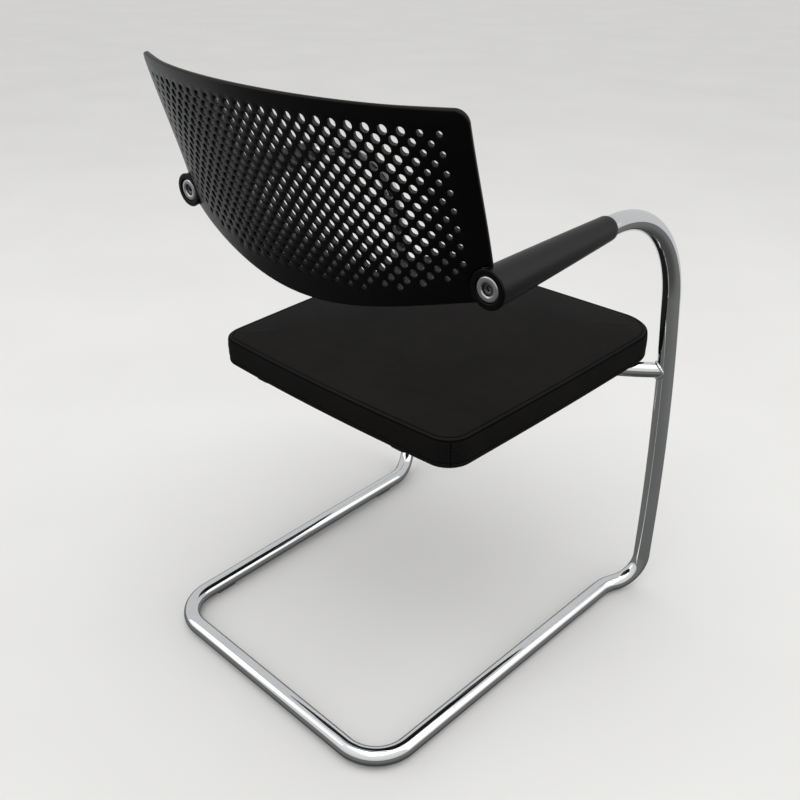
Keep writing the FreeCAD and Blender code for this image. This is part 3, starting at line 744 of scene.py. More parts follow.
def shell_normal(s, t):
    a = shell_surface(s + 0.5, t) - shell_surface(s - 0.5, t)
    b = shell_surface(s, t + 0.5) - shell_surface(s, t - 0.5)
    n = np.cross(a, b)
    n /= np.linalg.norm(n, axis=-1)[..., None]
    return np.where(n[..., 1:2] < 0, -n, n)


def ease(q):
    q = np.clip(q, 0.0, 1.0)
    return q * q * (3 - 2 * q)


def shell_place(s, t, depth):
    """Depth is from the rear face, SHELL_T being the front face; the wall is thicker towards the sides and lower rim."""
    s, t = np.asarray(s, float), np.asarray(t, float)
    f_, g_ = ease((np.abs(s) - 175.0) / 65.0), ease((-t - 30.0) / 80.0)
    wall = SHELL_T + SHELL_T_RIM * (1 - (1 - f_) * (1 - g_))
    return shell_surface(s, t) - shell_normal(s, t) * (depth * wall / SHELL_T)[..., None]


def shell_bottom(s):
    return -147.7 + 0.001047 * s * s - 5.769e-9 * s ** 4


# outline, counter-clockwise in (s, t)
out = []
ss = np.linspace(-SHELL_HALF, SHELL_HALF, 181)
out += [(s_, shell_bottom(s_)) for s_ in ss]
tt = np.linspace(shell_bottom(SHELL_HALF), SHELL_TOP - SHELL_CORNER_R, 62)[1:-1]
out += [(SHELL_HALF, t_) for t_ in tt]
for k in range(13):
    a = math.radians(90 * k / 12)
    out.append((SHELL_HALF - SHELL_CORNER_R + SHELL_CORNER_R * math.cos(a), SHELL_TOP - SHELL_CORNER_R + SHELL_CORNER_R * math.sin(a)))
out += [(s_, SHELL_TOP) for s_ in np.linspace(SHELL_HALF - SHELL_CORNER_R, -SHELL_HALF + SHELL_CORNER_R, 171)[1:-1]]
for k in range(13):
    a = math.radians(90 + 90 * k / 12)
    out.append((-SHELL_HALF + SHELL_CORNER_R + SHELL_CORNER_R * math.cos(a), SHELL_TOP - SHELL_CORNER_R + SHELL_CORNER_R * math.sin(a)))
out += [(-SHELL_HALF, t_) for t_ in tt[::-1]]



def axis_radius(s, t, depth, sx):
    rel = shell_place(s, t, depth) - along(0, sx)
    a = rel @ arm_dir
    return np.linalg.norm(rel - a[..., None] * arm_dir, axis=-1)


def notch(loop, sx):
    """Loop whose part inside the arm axis' clearance circle follows that circle; also the indices that do."""
    loop = np.array(loop, float)
    r = axis_radius(loop[:, 0], loop[:, 1], SHELL_T / 2, sx)
    inside = r < NOTCH_R
    n = len(loop)
    start = next(k for k in range(n) if not inside[k] and inside[(k + 1) % n])
    loop, r, inside = np.roll(loop, -start, 0), np.roll(r, -start), np.roll(inside, -start)
    end = next(k for k in range(1, n) if not inside[k])

    def cross(a, b, ra, rb):
        return a + (b - a) * (NOTCH_R - ra) / (rb - ra)
    c0, c1 = cross(loop[0], loop[1], r[0], r[1]), cross(loop[end], loop[end - 1], r[end], r[end - 1])
    mid = np.array([-sx * 259.5, -79.0])
    for _ in range(40):
        g = np.array([(axis_radius(mid[0] + d[0], mid[1] + d[1], SHELL_T / 2, sx) - axis_radius(mid[0] - d[0], mid[1] - d[1], SHELL_T / 2, sx)) / 0.2
                      for d in (np.array([0.1, 0]), np.array([0, 0.1]))])
        mid = mid - g * axis_radius(mid[0], mid[1], SHELL_T / 2, sx) * 0.5 / max(g @ g, 1e-6)
    f0, f1 = math.atan2(*(c0 - mid)[::-1]), math.atan2(*(c1 - mid)[::-1])
    sweep = (f1 - f0) % (2 * math.pi)
    sweep = sweep - 2 * math.pi
    best = []
    count = int(abs(sweep) * NOTCH_R / 2.0)
    for q in range(1, count):
        f = f0 + sweep * q / count
        lo_, hi_ = 2.0, 60.0
        for _ in range(40):
            m_ = (lo_ + hi_) / 2
            pt = mid + m_ * np.array([math.cos(f), math.sin(f)])
            if axis_radius(pt[0], pt[1], SHELL_T / 2, sx) < NOTCH_R:
                lo_ = m_
            else:
                hi_ = m_
        best.append(mid + lo_ * np.array([math.cos(f), math.sin(f)]))
    new = np.concatenate([loop[end:], loop[:1], [c0], best, [c1]])
    first = len(loop) - end + 1
    return new, list(range(first, len(new)))


out_r, cut_r = notch(out, -1)
marker = out_r[cut_r].copy()
out_l, cut_l = notch(out_r, 1)
d_ = np.linalg.norm(out_l[:, None] - marker[None], axis=2)
cut_r = [int(k) for k in np.where(d_.min(1) < 1e-9)[0]]
out = out_l
print("notch", len(cut_r), len(cut_l), len(out))

PITCH_S, PITCH_T = 9.84, 10.03
holes = []
for j in range(20):
    if j <= 15:
        cols = range(0, 49, 2) if j % 2 == 0 else range(1, 48, 2)
    else:
        cols = {16: range(2, 47, 2), 17: range(5, 44, 2), 18: range(8, 41, 2), 19: range(13, 36, 2)}[j]
    for i in cols:
        edge_i = min(i, 48 - i)
        r = [3.1, 3.25, 3.45, 4.05, 4.6, 4.95][edge_i] if edge_i < 6 else 5.15
        r *= {14: 0.97, 15: 0.93, 16: 0.875, 17: 0.815, 18: 0.74, 19: 0.64}.get(j, 1.0)
        holes.append(((24 - i) * PITCH_S, -(j - 8) * PITCH_T, r))
# helper points between the holes and in the plain margins keep the facets even
extra = []
hole_xy = np.array([(h[0], h[1]) for h in holes])
outl = np.array(out)
for i in range(-4, 53):
    for j in range(-3, 23):
        s_, t_ = (24 - i) * PITCH_S, -(j - 8) * PITCH_T
        d_h = np.hypot(hole_xy[:, 0] - s_, hole_xy[:, 1] - t_).min()
        if d_h < 7.5:
            continue
        d_o = np.hypot(outl[:, 0] - s_, outl[:, 1] - t_).min()
        if d_o < 5.0 or not in_loop(np.array([[s_, t_]]), outl)[0]:
            continue
        extra.append((s_, t_))
RIM = [(2.3, 0.0), (1.45, 0.12), (0.72, 0.48), (0.22, 1.1), (0.0, 2.0), (0.0, 3.1), (0.22, 4.0), (0.72, 4.62), (1.45, 4.98), (2.3, 5.1)]
HRIM = [(0.5, 0.0), (0.25, 0.06), (0.07, 0.24), (0.0, 0.55), (0.0, 4.55), (0.07, 4.86), (0.25, 5.04), (0.5, 5.1)]
shell_v, shell_f, rim_rows = holed_plate(out, holes, SHELL_T, shell_place, RIM, HRIM, 24, extra)
# the cut round each arm pad is a true cylinder about the arm axis
for sx, cut_ in ((-1, cut_r), (1, cut_l)):
    o = along(0, sx)
    for (inset_, depth_), ids in zip(RIM, rim_rows):
        sel = np.array([ids[k] for k in cut_])
        rel = shell_v[sel] - o
        a_ = rel @ arm_dir
        radial = rel - a_[:, None] * arm_dir
        rad = np.linalg.norm(radial, axis=1)
        want = NOTCH_R + inset_ * 0.5
        shell_v[sel] += radial / rad[:, None] * (want - rad)[:, None]
moulding = add_piece("back_shell_moulding", world(shell_v), shell_f, shell_black, ["back_shell"], sharp_deg=60)
moulding.data.materials.append(shell_bore)
# the rim folds on itself in the sharp corners of the two cuts: those few edges are closed
bm = bmesh.new()
bm.from_mesh(moulding.data)
made = bmesh.ops.holes_fill(bm, edges=[ed for ed in bm.edges if ed.is_boundary], sides=16)["faces"]
for f_ in made:
    f_.smooth = True
bm.to_mesh(moulding.data)
bm.free()
rim_ids = {int(i) for ids in rim_rows for i in ids}
for poly in moulding.data.polygons:
    if poly.loop_total == 4 and int(poly.vertices[0]) not in rim_ids:
        poly.material_index = 1


# ------------------------------------------------------------------ ears, washers, screws, pads
def placed_lathe(name, profile, seg, sx, material, replaces=(), closed=True, sharp=45, origin_a=0.0):
    """Turned piece on the arm axis whose object origin is on that axis, so ring textures are centred."""
    o = along(origin_a, sx)
    vv, ff = lathe([(a - origin_a, r) for a, r in profile], seg, (0, 0, 0), arm_dir, closed)
    ob = add_piece(name, vv / 1000.0, ff, material, replaces, sharp_deg=sharp)
    ob.matrix_world = Matrix.Translation(Vector(world(o)[0]))
    bpy.context.view_layer.update()
    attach(ob, "root")
    return ob


for sx, nm in ((-1, "right"), (1, "left")):
    ear = [(3.5, 12.0), (3.5, 14.5), (3.3, 14.8), (0.7, 14.8)]
    ear += arc_profile((0.7, 16.3), 1.5, 270, 180, 6)[1:]
    ear += [(-0.8, 17.4), (-0.8, 20.6)]
    ear += arc_profile((0.9, 20.8), 1.7, 180, 90, 8)
    ear += [(1.35, EAR_R), (1.55, EAR_R - 0.15), (EAR_FRONT, EAR_R - 0.4), (EAR_FRONT, HUB_R + 0.2), (EAR_FRONT + 0.2, HUB_R),
            (HUB_FRONT - 0.2, HUB_R), (HUB_FRONT, HUB_R - 0.2), (HUB_FRONT, 12.0)]
    placed_lathe("back_shell_ear_" + nm, ear, 96, sx, shell_black)
    cup = [(0.9, 7.5), (0.25, 8.25), (0.0, 8.6), (0.0, 10.5), (0.0, 12.9), (0.10, 13.15), (0.95, 14.25), (1.3, 14.5), (3.0, 14.5), (3.45, 14.3),
           (3.5, 9.2), (HUB_FRONT - 0.1, 9.2), (HUB_FRONT - 0.1, 4.3), (8.0, 4.3), (8.0, 7.1), (7.7, 7.5)]
    placed_lathe("cup_washer_turned_" + nm, cup[::-1], 96, sx, washer_steel, ["back_cup_washer_" + nm])
    # screw head with hexagon socket
    seg = 96
    head = [(8.0, 4.0), (8.0, 6.3), (7.8, 6.5), (3.1, 6.5), (2.75, 6.35), (2.55, 6.05), (2.5, 5.7), (2.5, 4.1), (2.75, 3.75)]
    o = along(0.0, sx)
    vv, ff = lathe(head, seg, (0, 0, 0), arm_dir, False)
    axis = unit(arm_dir)
    side = unit(np.cross([0, 0, 1.0], axis))
    upx = np.cross(axis, side)
    ang = np.linspace(0, 2 * math.pi, seg, endpoint=False)
    hexr = 2.5 / np.cos((ang % (math.pi / 3)) - math.pi / 6)
    rows = []
    for a_, sc in ((2.95, 1.0), (5.6, 1.0), (6.1, 0.55), (6.6, 0.02)):
        rows.append(axis[None] * a_ + (hexr * sc)[:, None] * (side[None] * np.cos(ang)[:, None] + upx[None] * np.sin(ang)[:, None]))
    n_head = len(head)
    vv = np.concatenate([vv] + rows)
    ff = grid_faces(n_head + 4, seg)
    ff.append(tuple(range((n_head + 3) * seg, (n_head + 4) * seg)))
    # shank
    sh = [(8.0, 4.0), (36.8, 4.0), (38.0, 3.2)]
    v2, f2 = lathe(sh, seg, (0, 0, 0), arm_dir, False)
    off = len(vv)
    vv = np.concatenate([vv, v2])
    ff += [tuple(off + i for i in q[::-1]) for q in f2]
    ff.append(tuple(off + 2 * seg + i for i in range(seg))[::-1])
    scr = add_piece("back_socket_screw_" + nm, vv / 1000.0, ff, screw_black, ["back_screw_" + nm], sharp_deg=35)
    scr.matrix_world = Matrix.Translation(Vector(world(o)[0]))
    bpy.context.view_layer.update()
    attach(scr, "root")
    # arm pad
    prof = [(HUB_FRONT + 0.15, 12.6), (HUB_FRONT + 0.15, HUB_R + 0.3), (2.2, HUB_R + 0.3), (1.9, HUB_R + 0.6), (1.9, 20.6)]
    prof += arc_profile((2.9, 20.9), 1.0, 180, 95, 5)
    n_t = 40
    r0, r1, a0, a1 = 21.9, 15.3, 3.2, 213.5
    for k in range(n_t + 1):
        q = k / n_t
        prof.append((a0 + (a1 - a0) * q, r0 + (r1 - r0) * q + 0.25 * math.sin(math.pi * q)))
    prof += [(215.3, 15.15), (216.8, 14.8), (218.1, 14.3), (219.1, 13.6), (219.7, 12.95), (219.95, 12.55)]
    placed_lathe("arm_pad_sleeve_" + nm, prof, 96, sx, pad_black, ["arm_pad_" + nm], closed=True, sharp=60, origin_a=100.0)

# ------------------------------------------------------------------ seat cushion
def outline_curve(inset, n_side=60):
    """Plan curve at an inset from the seam line, as a dense closed loop from the rear-left corner's middle."""
    wr, wf = SEAT_HALF_REAR - inset, SEAT_HALF_FRONT - inset
    yr, yf = 0.0 - inset, (SEAT_FRONT_Y - SEAT_REAR_Y) + inset
    q = max(0.0, 1 - inset / 224.0)
    rr = max(SEAT_CORNER_REAR - 0.25 * max(inset, 0) + min(inset, 0) * -0.6, 4.0) * (0.3 + 0.7 * q)
    rf = max(SEAT_CORNER_FRONT - 0.25 * max(inset, 0) + min(inset, 0) * -0.6, 6.0) * (0.3 + 0.7 * q)
    rr = min(rr, max(min(wr, -yf / 2) * 0.9, 0.3))
    rf = min(rf, max(min(wf, -yf / 2) * 0.9, 0.3))
    C = [np.array([wr, yr]), np.array([-wr, yr]), np.array([-wf, yf]), np.array([wf, yf])]
    R = [rr, rr, rf, rf]
    arcs = []
    for k in range(4):
        p, a, b, r = C[k], C[k - 1], C[(k + 1) % 4], R[k]
        u, vv_ = unit(a - p), unit(b - p)
        al = math.acos(max(-1, min(1, u @ vv_)))
        t = r / math.tan(al / 2)
        c = p + unit(u + vv_) * (r / math.sin(al / 2))
        s_, e_ = p + u * t, p + vv_ * t
        a0 = math.atan2(*(s_ - c)[::-1])
        a1 = math.atan2(*(e_ - c)[::-1])
        dlt = (a1 - a0 + math.pi) % (2 * math.pi) - math.pi
        arcs.append([c + r * np.array([math.cos(a0 + dlt * q_), math.sin(a0 + dlt * q_)]) for q_ in np.linspace(0, 1, 25)])
    sides = []
    for k in range(4):
        # from the middle of corner k to the middle of corner k+1
        line0, line1 = arcs[k][-1], arcs[(k + 1) % 4][0]
        seg_ = [line0 + (line1 - line0) * q_ for q_ in np.linspace(0, 1, n_side)]
        pts = np.array(arcs[k][12:] + seg_[1:-1] + arcs[(k + 1) % 4][:13])
        sides.append(pts)
    # edges bow outwards a little
    scale = max(0.0, 1 - inset / 150.0)
    hy = -yf / 2
    res = []
    for k, pts in enumerate(sides):
        x, y = pts[:, 0].copy(), pts[:, 1].copy()
        wx = (wr + wf) / 2
        cyy = (yr + yf) / 2
        ry = np.clip((y - cyy) / max(hy, 1), 0, 1) ** 4
        fy = np.clip((cyy - y) / max(hy, 1), 0, 1) ** 4
        sxx = np.clip(np.abs(x) / max(wx, 1), 0, 1) ** 4
        y2 = y + 6.5 * scale * ry * np.clip(1 - (x / max(wx, 1)) ** 2, 0, 1) - 1.2 * scale * fy * np.clip(1 - (x / max(wx, 1)) ** 2, 0, 1)
        x2 = x + np.sign(x) * 2.8 * scale * sxx * np.clip(1 - ((y - cyy) / max(hy, 1)) ** 2, 0, 1)
        res.append(np.stack([x2, y2], 1))
    return res


def ring_points(inset, k):
    """8 k points on the curve at that inset: 2 k from each corner middle to the next."""
    out_ = []
    for pts in outline_curve(inset):
        d = np.concatenate([[0], np.cumsum(np.linalg.norm(np.diff(pts, axis=0), axis=1))])
        u_ = np.linspace(0, 1, 2 * k + 1)[:-1]
        fine_ = 0.78 * min(1.0, k / 12.0) if k > 4 else 0.0
        q = d[-1] * (u_ - fine_ * np.sin(2 * math.pi * u_) / (2 * math.pi))      # closer together round the corners
        out_.append(np.stack([np.interp(q, d, pts[:, 0]), np.interp(q, d, pts[:, 1])], 1))
    return np.concatenate(out_)


K = 48
near = [0.0, 0.7, 1.9, 3.7, 5.0, 5.6, 6.2, 7.6, 10.0, 13.5, 18.0]
rest = np.linspace(18.0, 224.0, K - len(near) + 2)[1:]
insets = near + list(rest)                       # inset of ring K, K-1, ..., 0
insets = insets[:K + 1]


def crown(d):
    """Height of the top above the seam at an inset."""
    q = min(max(d, 0.0) / 115.0, 1.0)
    return SEAT_CROWN * 0.70 * (1 - (1 - q) ** 2.2)


# the top: square grid whose rings follow the outline
N = 2 * K + 1
index = -np.ones((N, N), int)
top_xy, top_d = [], []


def square_ring(k):
    """Grid cells of ring k, in order, starting at the corner (+,+)."""
    if k == 0:
        return [(K, K)]
    c = []
    for q in range(2 * k):
        c.append((K + k - q, K + k))
    for q in range(2 * k):
        c.append((K - k, K + k - q))
    for q in range(2 * k):
        c.append((K - k + q, K - k))
    for q in range(2 * k):
        c.append((K + k, K - k + q))
    return c


for k in range(K, -1, -1):
    d = insets[K - k]
    if k == 0:
        pts = np.array([[0.0, (SEAT_FRONT_Y - SEAT_REAR_Y) / 2]])
    else:
        pts = ring_points(d, k)
    for (i, j), p in zip(square_ring(k), pts):
        index[i, j] = len(top_xy)
        top_xy.append(p)
        top_d.append(d)
top_xy, top_d = np.array(top_xy), np.array(top_d)
ring_of = np.zeros(len(top_xy), int)
for i in range(N):
    for j in range(N):
        ring_of[index[i, j]] = max(abs(i - K), abs(j - K))
# even out the inside of the grid
G = index
xy = top_xy.copy()
for _ in range(60):
    P = xy[G]
    A = P.copy()
    A[1:-1, 1:-1] = (P[:-2, 1:-1] + P[2:, 1:-1] + P[1:-1, :-2] + P[1:-1, 2:]) / 4
    new = xy.copy()
    new[G.ravel()] = A.reshape(-1, 2)
    fixed = ring_of >= K - len(near) + 1
    soft = np.clip((K - len(near) + 1 - ring_of) / 6.0, 0, 1)[:, None]
    xy = np.where(fixed[:, None], xy, xy + (new - xy) * soft)
top_xy = xy
top_z = np.array([SEAT_BAND + crown(d) for d in top_d])
verts = np.column_stack([top_xy, top_z])
faces = []
for i in range(N - 1):
    for j in range(N - 1):
        faces.append((G[i, j], G[i, j + 1], G[i + 1, j + 1], G[i + 1, j]))
edge_ids = [G[c] for c in square_ring(K)]
# band: heights under the seam, and how far it stands outside the seam line
rows = [(36.8, -0.25), (35.4, -0.62), (32.5, -1.05), (28.5, -1.35), (24.0, -1.5), (19.0, -1.5), (14.0, -1.4), (10.0, -1.2), (7.6, -1.05),
        (6.9, -0.95), (6.2, -1.1), (4.6, -1.2), (3.0, -1.2), (1.8, -0.9), (0.6, -0.1), (0.0, 1.3), (0.0, 4.5), (0.1, 9.0), (0.2, 14.0), (0.3, 18.5), (0.9, 21.6), (2.0, 21.9)]
row_ids = [edge_ids]
base = len(verts)
allv = [verts]
for h, inset in rows:
    p = ring_points(inset, K)
    allv.append(np.column_stack([p, np.full(len(p), h)]))
    row_ids.append(list(range(base, base + len(p))))
    base += len(p)
verts = np.concatenate(allv)
M = len(edge_ids)
for r0, r1 in zip(row_ids[:-1], row_ids[1:]):
    for c in range(M):
        d = (c + 1) % M
        faces.append((r0[c], r0[d], r1[d], r1[c]))
# face directions: outwards
cc = np.array([0, (SEAT_FRONT_Y - SEAT_REAR_Y) / 2, 20.0])
a0_, b0_, c0_ = (verts[list(faces[len(faces) // 4])[k]] for k in range(3))
fn = np.cross(b0_ - a0_, c0_ - b0_)
if fn[2] < 0:
    n_top = (N - 1) * (N - 1)
    faces = [tuple(q[::-1]) for q in faces[:n_top]] + faces[n_top:]
q = faces[(N - 1) * (N - 1) + 8 * M + 5]
fn = np.cross(verts[q[1]] - verts[q[0]], verts[q[2]] - verts[q[1]])
if fn @ (verts[list(q)].mean(0) - cc) < 0:
    n_top = (N - 1) * (N - 1)
    faces = faces[:n_top] + [tuple(q_[::-1]) for q_ in faces[n_top:]]


def inflate(verts, faces):
    """Cloth pressure on the sewn cover. Seams, hem and the turned-under edge hold still."""
    me = bpy.data.meshes.new("cover_sim")
    me.from_pydata([tuple(p / 1000.0) for p in verts], [], faces)
    me.update()
    ob = bpy.data.objects.new("cover_sim", me)
    bpy.context.scene.collection.objects.link(ob)
    g = ob.vertex_groups.new(name="held")
    pinned = set(edge_ids)
    for k, (h, _) in enumerate(rows):
        if h <= 7.6:
            pinned |= set(row_ids[k + 1])
    g.add(sorted(int(i) for i in pinned), 1.0, "REPLACE")
    stitch = [int(i) for i in np.where(np.abs(top_d - 5.6) < 0.1)[0]]
    g.add(stitch, 0.25, "REPLACE")
    mod = ob.modifiers.new("cloth", "CLOTH")
    st = mod.settings
    st.quality = 6
    st.mass = 0.25
    st.tension_stiffness = 25
    st.compression_stiffness = 20
    st.shear_stiffness = 8
    st.bending_stiffness = 1.5
    st.use_pressure = True
    st.uniform_pressure_force = 4.0
    st.vertex_group_mass = "held"
    st.pin_stiffness = 1.0
    st.effector_weights.gravity = 0.0
    mod.collision_settings.use_collision = False
    sc = bpy.context.scene
    sc.frame_start, sc.frame_end = 1, 20
    mod.point_cache.frame_start, mod.point_cache.frame_end = 1, 20
    for fr in range(1, 21):
        sc.frame_set(fr)
    dg = bpy.context.evaluated_depsgraph_get()
    ev = ob.evaluated_get(dg)
    co = np.zeros(len(verts) * 3, np.float32)
    ev.data.vertices.foreach_get("co", co)
    co = co.reshape(-1, 3).astype(float) * 1000.0
    bpy.data.objects.remove(ob)
    bpy.data.meshes.remove(me)
    sc.frame_set(1)
    return co


sim = inflate(verts, faces)
delta = sim - verts
n_top_v = len(top_xy)
cap = np.full(len(verts), 1.0)
cap[:n_top_v] = np.clip(top_d / 60.0, 0, 1) * 3.6 + np.clip(top_d / 8.0, 0, 1) * 0.8
ln = np.linalg.norm(delta, axis=1)
delta *= np.where(ln > 1e-9, np.minimum(1.0, cap / np.maximum(ln, 1e-9)), 0)[:, None]
verts = verts + delta
print("seat top", verts[:, 2].max())

# seams, topstitch line and hem are pressed in after the inflation
rng = np.random.RandomState(3)
centre2 = np.array([0, (SEAT_FRONT_Y - SEAT_REAR_Y) / 2])


def push_in(ids, side, down):
    p = verts[ids]
    out_dir = p[:, :2] - np.roll(p[:, :2], 1, 0)
    tang = np.roll(p[:, :2], -1, 0) - np.roll(p[:, :2], 1, 0)
    tang /= np.linalg.norm(tang, axis=1)[:, None]
    nrm = np.stack([tang[:, 1], -tang[:, 0]], 1)
    flip = np.sign(((p[:, :2] - centre2) * nrm).sum(1))[:, None]
    nrm = nrm * flip
    verts[ids, :2] -= nrm * side
    verts[ids, 2] -= down


push_in(np.array(edge_ids), 1.9, 1.5)
st_ids = np.array([G[c] for c in square_ring(K - 5)])
wave = 1.30 + 0.14 * np.sin(np.arange(len(st_ids)) * 1.9) + rng.uniform(-0.08, 0.08, len(st_ids))
push_in(st_ids, 0.0, wave)
hem = np.array(row_ids[10])
push_in(hem, 1.3, 0.0)
# short puckers where the boxing strip is eased round the rear corners
for corner in (0, 2 * K):
    for r in range(2, 9):
        ids = np.array(row_ids[r])
        off = (np.arange(len(ids)) - corner + len(ids) // 2) % len(ids) - len(ids) // 2
        near_ = np.exp(-((np.abs(off) - 5.0) / 4.5) ** 2)
        amp = 0.42 * near_ * math.sin(math.pi * (r - 1) / 8.0) * np.sin(r * 2.5 + off * 0.35 + corner)
        sel = np.abs(off) < 16
        pp = verts[ids[sel]]
        dd = pp[:, :2] - centre2
        verts[ids[sel], :2] += dd / np.linalg.norm(dd, axis=1)[:, None] * amp[sel][:, None]
# boxing strip's closing seams at the two rear corners
for corner in (0, 2 * K):
    for r in range(1, 14):
        i = row_ids[r][corner]
        p = verts[i]
        d = p[:2] - centre2
        verts[i, :2] -= d / np.linalg.norm(d) * 1.5
cover_pts = seat_to_row(verts)
cover = add_piece("seat_cover_upholstery", world(cover_pts), faces, fabric, ["seat_cover", "seat_foam"])
# painted shade for the fabric's base colour: full in the seam grooves, the topstitch groove and the rear corner seams,
# nearly full along the hem, weaker in the rows beside them; the pucker weights drive only a bump
seam_painted_shade_w, pucker_w = np.zeros(len(verts)), np.zeros(len(verts))
seam_painted_shade_w[np.array([G[c] for c in square_ring(K - 1)])] = 0.55
seam_painted_shade_w[np.array(row_ids[1])] = 0.80
seam_painted_shade_w[np.array(edge_ids)] = 1.0
for off_ in (K - 4, K - 6):
    seam_painted_shade_w[np.array([G[c] for c in square_ring(off_)])] = 0.40
seam_painted_shade_w[st_ids] = 1.0
seam_painted_shade_w[hem] = 0.9
for corner in (0, 2 * K):
    for r in range(1, 14):
        seam_painted_shade_w[row_ids[r][corner]] = 1.0
        ids = np.array(row_ids[r])
        off = (np.arange(len(ids)) - corner + len(ids) // 2) % len(ids) - len(ids) // 2
        side_ = off if corner == 0 else -off
        w_ = np.exp(-((np.abs(off) - 7.0) / 7.5) ** 2) * np.where(side_ < 0, 1.0, 0.45)
        pucker_w[ids] = np.maximum(pucker_w[ids], w_ * math.sin(math.pi * min(max((r - 1) / 11.0, 0), 1)))
for nm_, arr_ in (("seam_painted_shade", seam_painted_shade_w), ("pucker", pucker_w)):
    at_ = cover.data.attributes.new(nm_, "FLOAT", "POINT")
    at_.data.foreach_set("value", arr_.astype(np.float32))
sub = cover.modifiers.new("subdivision", "SUBSURF")
sub.levels = sub.render_levels = 1

# topstitch: one thread, many short stitches
st = verts[st_ids]
loop = np.concatenate([st, st[:1]])
d = np.concatenate([[0], np.cumsum(np.linalg.norm(np.diff(loop, axis=0), axis=1))])
n_st = int(d[-1] / 3.7)
sv, sf = [], []
SS, SR = 8, 7
for k in range(n_st):
    a_ = d[-1] * (k + 0.5) / n_st
    q0, q1 = a_ - 1.35, a_ + 1.35
    def at(q_):
        q_ = q_ % d[-1]
        return np.array([np.interp(q_, d, loop[:, c_]) for c_ in range(3)])
    p0, p1 = at(q0), at(q1)
    t_ = unit(p1 - p0)
    upz = np.array([0, 0, 1.0])
    sd = unit(np.cross(t_, upz))
    un = np.cross(sd, t_)
    base = len(sv)
    for r in range(SR):
        q_ = r / (SR - 1)
        c_ = p0 + (p1 - p0) * q_ + un * (0.42 + 0.30 * math.sin(math.pi * q_) - 0.05)
        rad = 0.34 * math.sqrt(max(0.0, 1 - (2 * q_ - 1) ** 4)) + 0.06
        for s_ in range(SS):
            an = 2 * math.pi * s_ / SS
            sv.append(c_ + sd * rad * math.cos(an) + un * rad * 0.8 * math.sin(an))
    sf += grid_faces(SR, SS, base)
    sf.append(tuple(base + s_ for s_ in range(SS))[::-1])
    sf.append(tuple(base + (SR - 1) * SS + s_ for s_ in range(SS)))
add_piece("seat_topstitch_thread", world(seat_to_row(np.array(sv))), sf, thread)

# ------------------------------------------------------------------ seat board, panel, brackets
def flat_outline(inset, k=40):
    p = ring_points(inset, k)
    area = 0.5 * np.sum(p[:, 0] * np.roll(p[:, 1], -1) - np.roll(p[:, 0], -1) * p[:, 1])
    return p if area > 0 else p[::-1]


SCREWS = [(130.0, -240.0), (130.0, -385.0), (176.0, -527.0)]
screw_xy = [(sx * x, sy(y)) for x, y in SCREWS for sx in (1, -1)]


def seat_place(z0):
    def place(s, t, depth):
        s, t = np.asarray(s, float), np.asarray(t, float)
        return seat_to_row(np.stack([s, t, np.full(s.shape, z0) - depth + np.zeros(s.shape)], -1))
    return place


def inner_points(outline, step, clear):
    o = np.array(outline)
    lo_, hi_ = o.min(0), o.max(0)
    pts = []
    for x in np.arange(lo_[0] + step / 2, hi_[0], step):
        for y in np.arange(lo_[1] + step / 2, hi_[1], step):
            if np.hypot(o[:, 0] - x, o[:, 1] - y).min() > clear and min(math.hypot(x - a, y - b) for a, b in screw_xy) > 9:
                pts.append((x, y))
    pts = np.array(pts)
    return [tuple(p) for p in pts[in_loop(pts, o)]]


def rims(thick, r):
    return [(r, 0.0), (r * 0.4, r * 0.14), (0.0, r * 0.6), (0.0, thick - r * 0.6), (r * 0.4, thick - r * 0.14), (r, thick)]


pan_out = flat_outline(7.0)
pv, pf, _ = holed_plate(pan_out, [(x, y, 4.5) for x, y in screw_xy], 11.0, seat_place(13.5), rims(11.0, 1.0), rims(11.0, 0.4), 24, inner_points(pan_out, 34, 14))
add_piece("seat_pan_board", world(pv), pf, plywood, ["seat_pan"], sharp_deg=35)
pn_out = flat_outline(22.4)
pv, pf, _ = holed_plate(pn_out, [(x, y, 3.4) for x, y in screw_xy], 2.5, seat_place(2.5), rims(2.5, 0.7), rims(2.5, 0.3), 20, inner_points(pn_out, 34, 14))
add_piece("seat_underside_cover_panel", world(pv), pf, panel_black, ["seat_underside_panel"], sharp_deg=35)


def bow_y(x):
    return BOW_APEX_Y - (bow_rad - math.sqrt(bow_rad ** 2 - x * x))


def bar_outline(x0, x1, ya, yb, r, rounded_hi):
    """Rectangle in seat plan, its far end rounded, its near end cut to the bow."""
    lo_y, hi_y = min(ya, yb), max(ya, yb)
    p = []
    if rounded_hi:
        n_ = 12
        for k in range(n_ + 1):
            x = x0 + (x1 - x0) * k / n_
            p.append((x, sy(bow_y(x) + 9.6)))
        for cx, cy, a0 in ((x1 - r, hi_y - r, 0), (x0 + r, hi_y - r, 90)):
            for k in range(9):
                a = math.radians(a0 + 90 * k / 8)
                p.append((cx + r * math.cos(a), cy + r * math.sin(a)))
    else:
        n_ = 12
        for cx, cy, a0 in ((x0 + r, lo_y + r, 180), (x1 - r, lo_y + r, 270)):
            for k in range(9):
                a = math.radians(a0 + 90 * k / 8)
                p.append((cx + r * math.cos(a), cy + r * math.sin(a)))
        for k in range(n_ + 1):
            x = x1 - (x1 - x0) * k / n_
            p.append((x, sy(bow_y(x) - 9.6)))
    return p


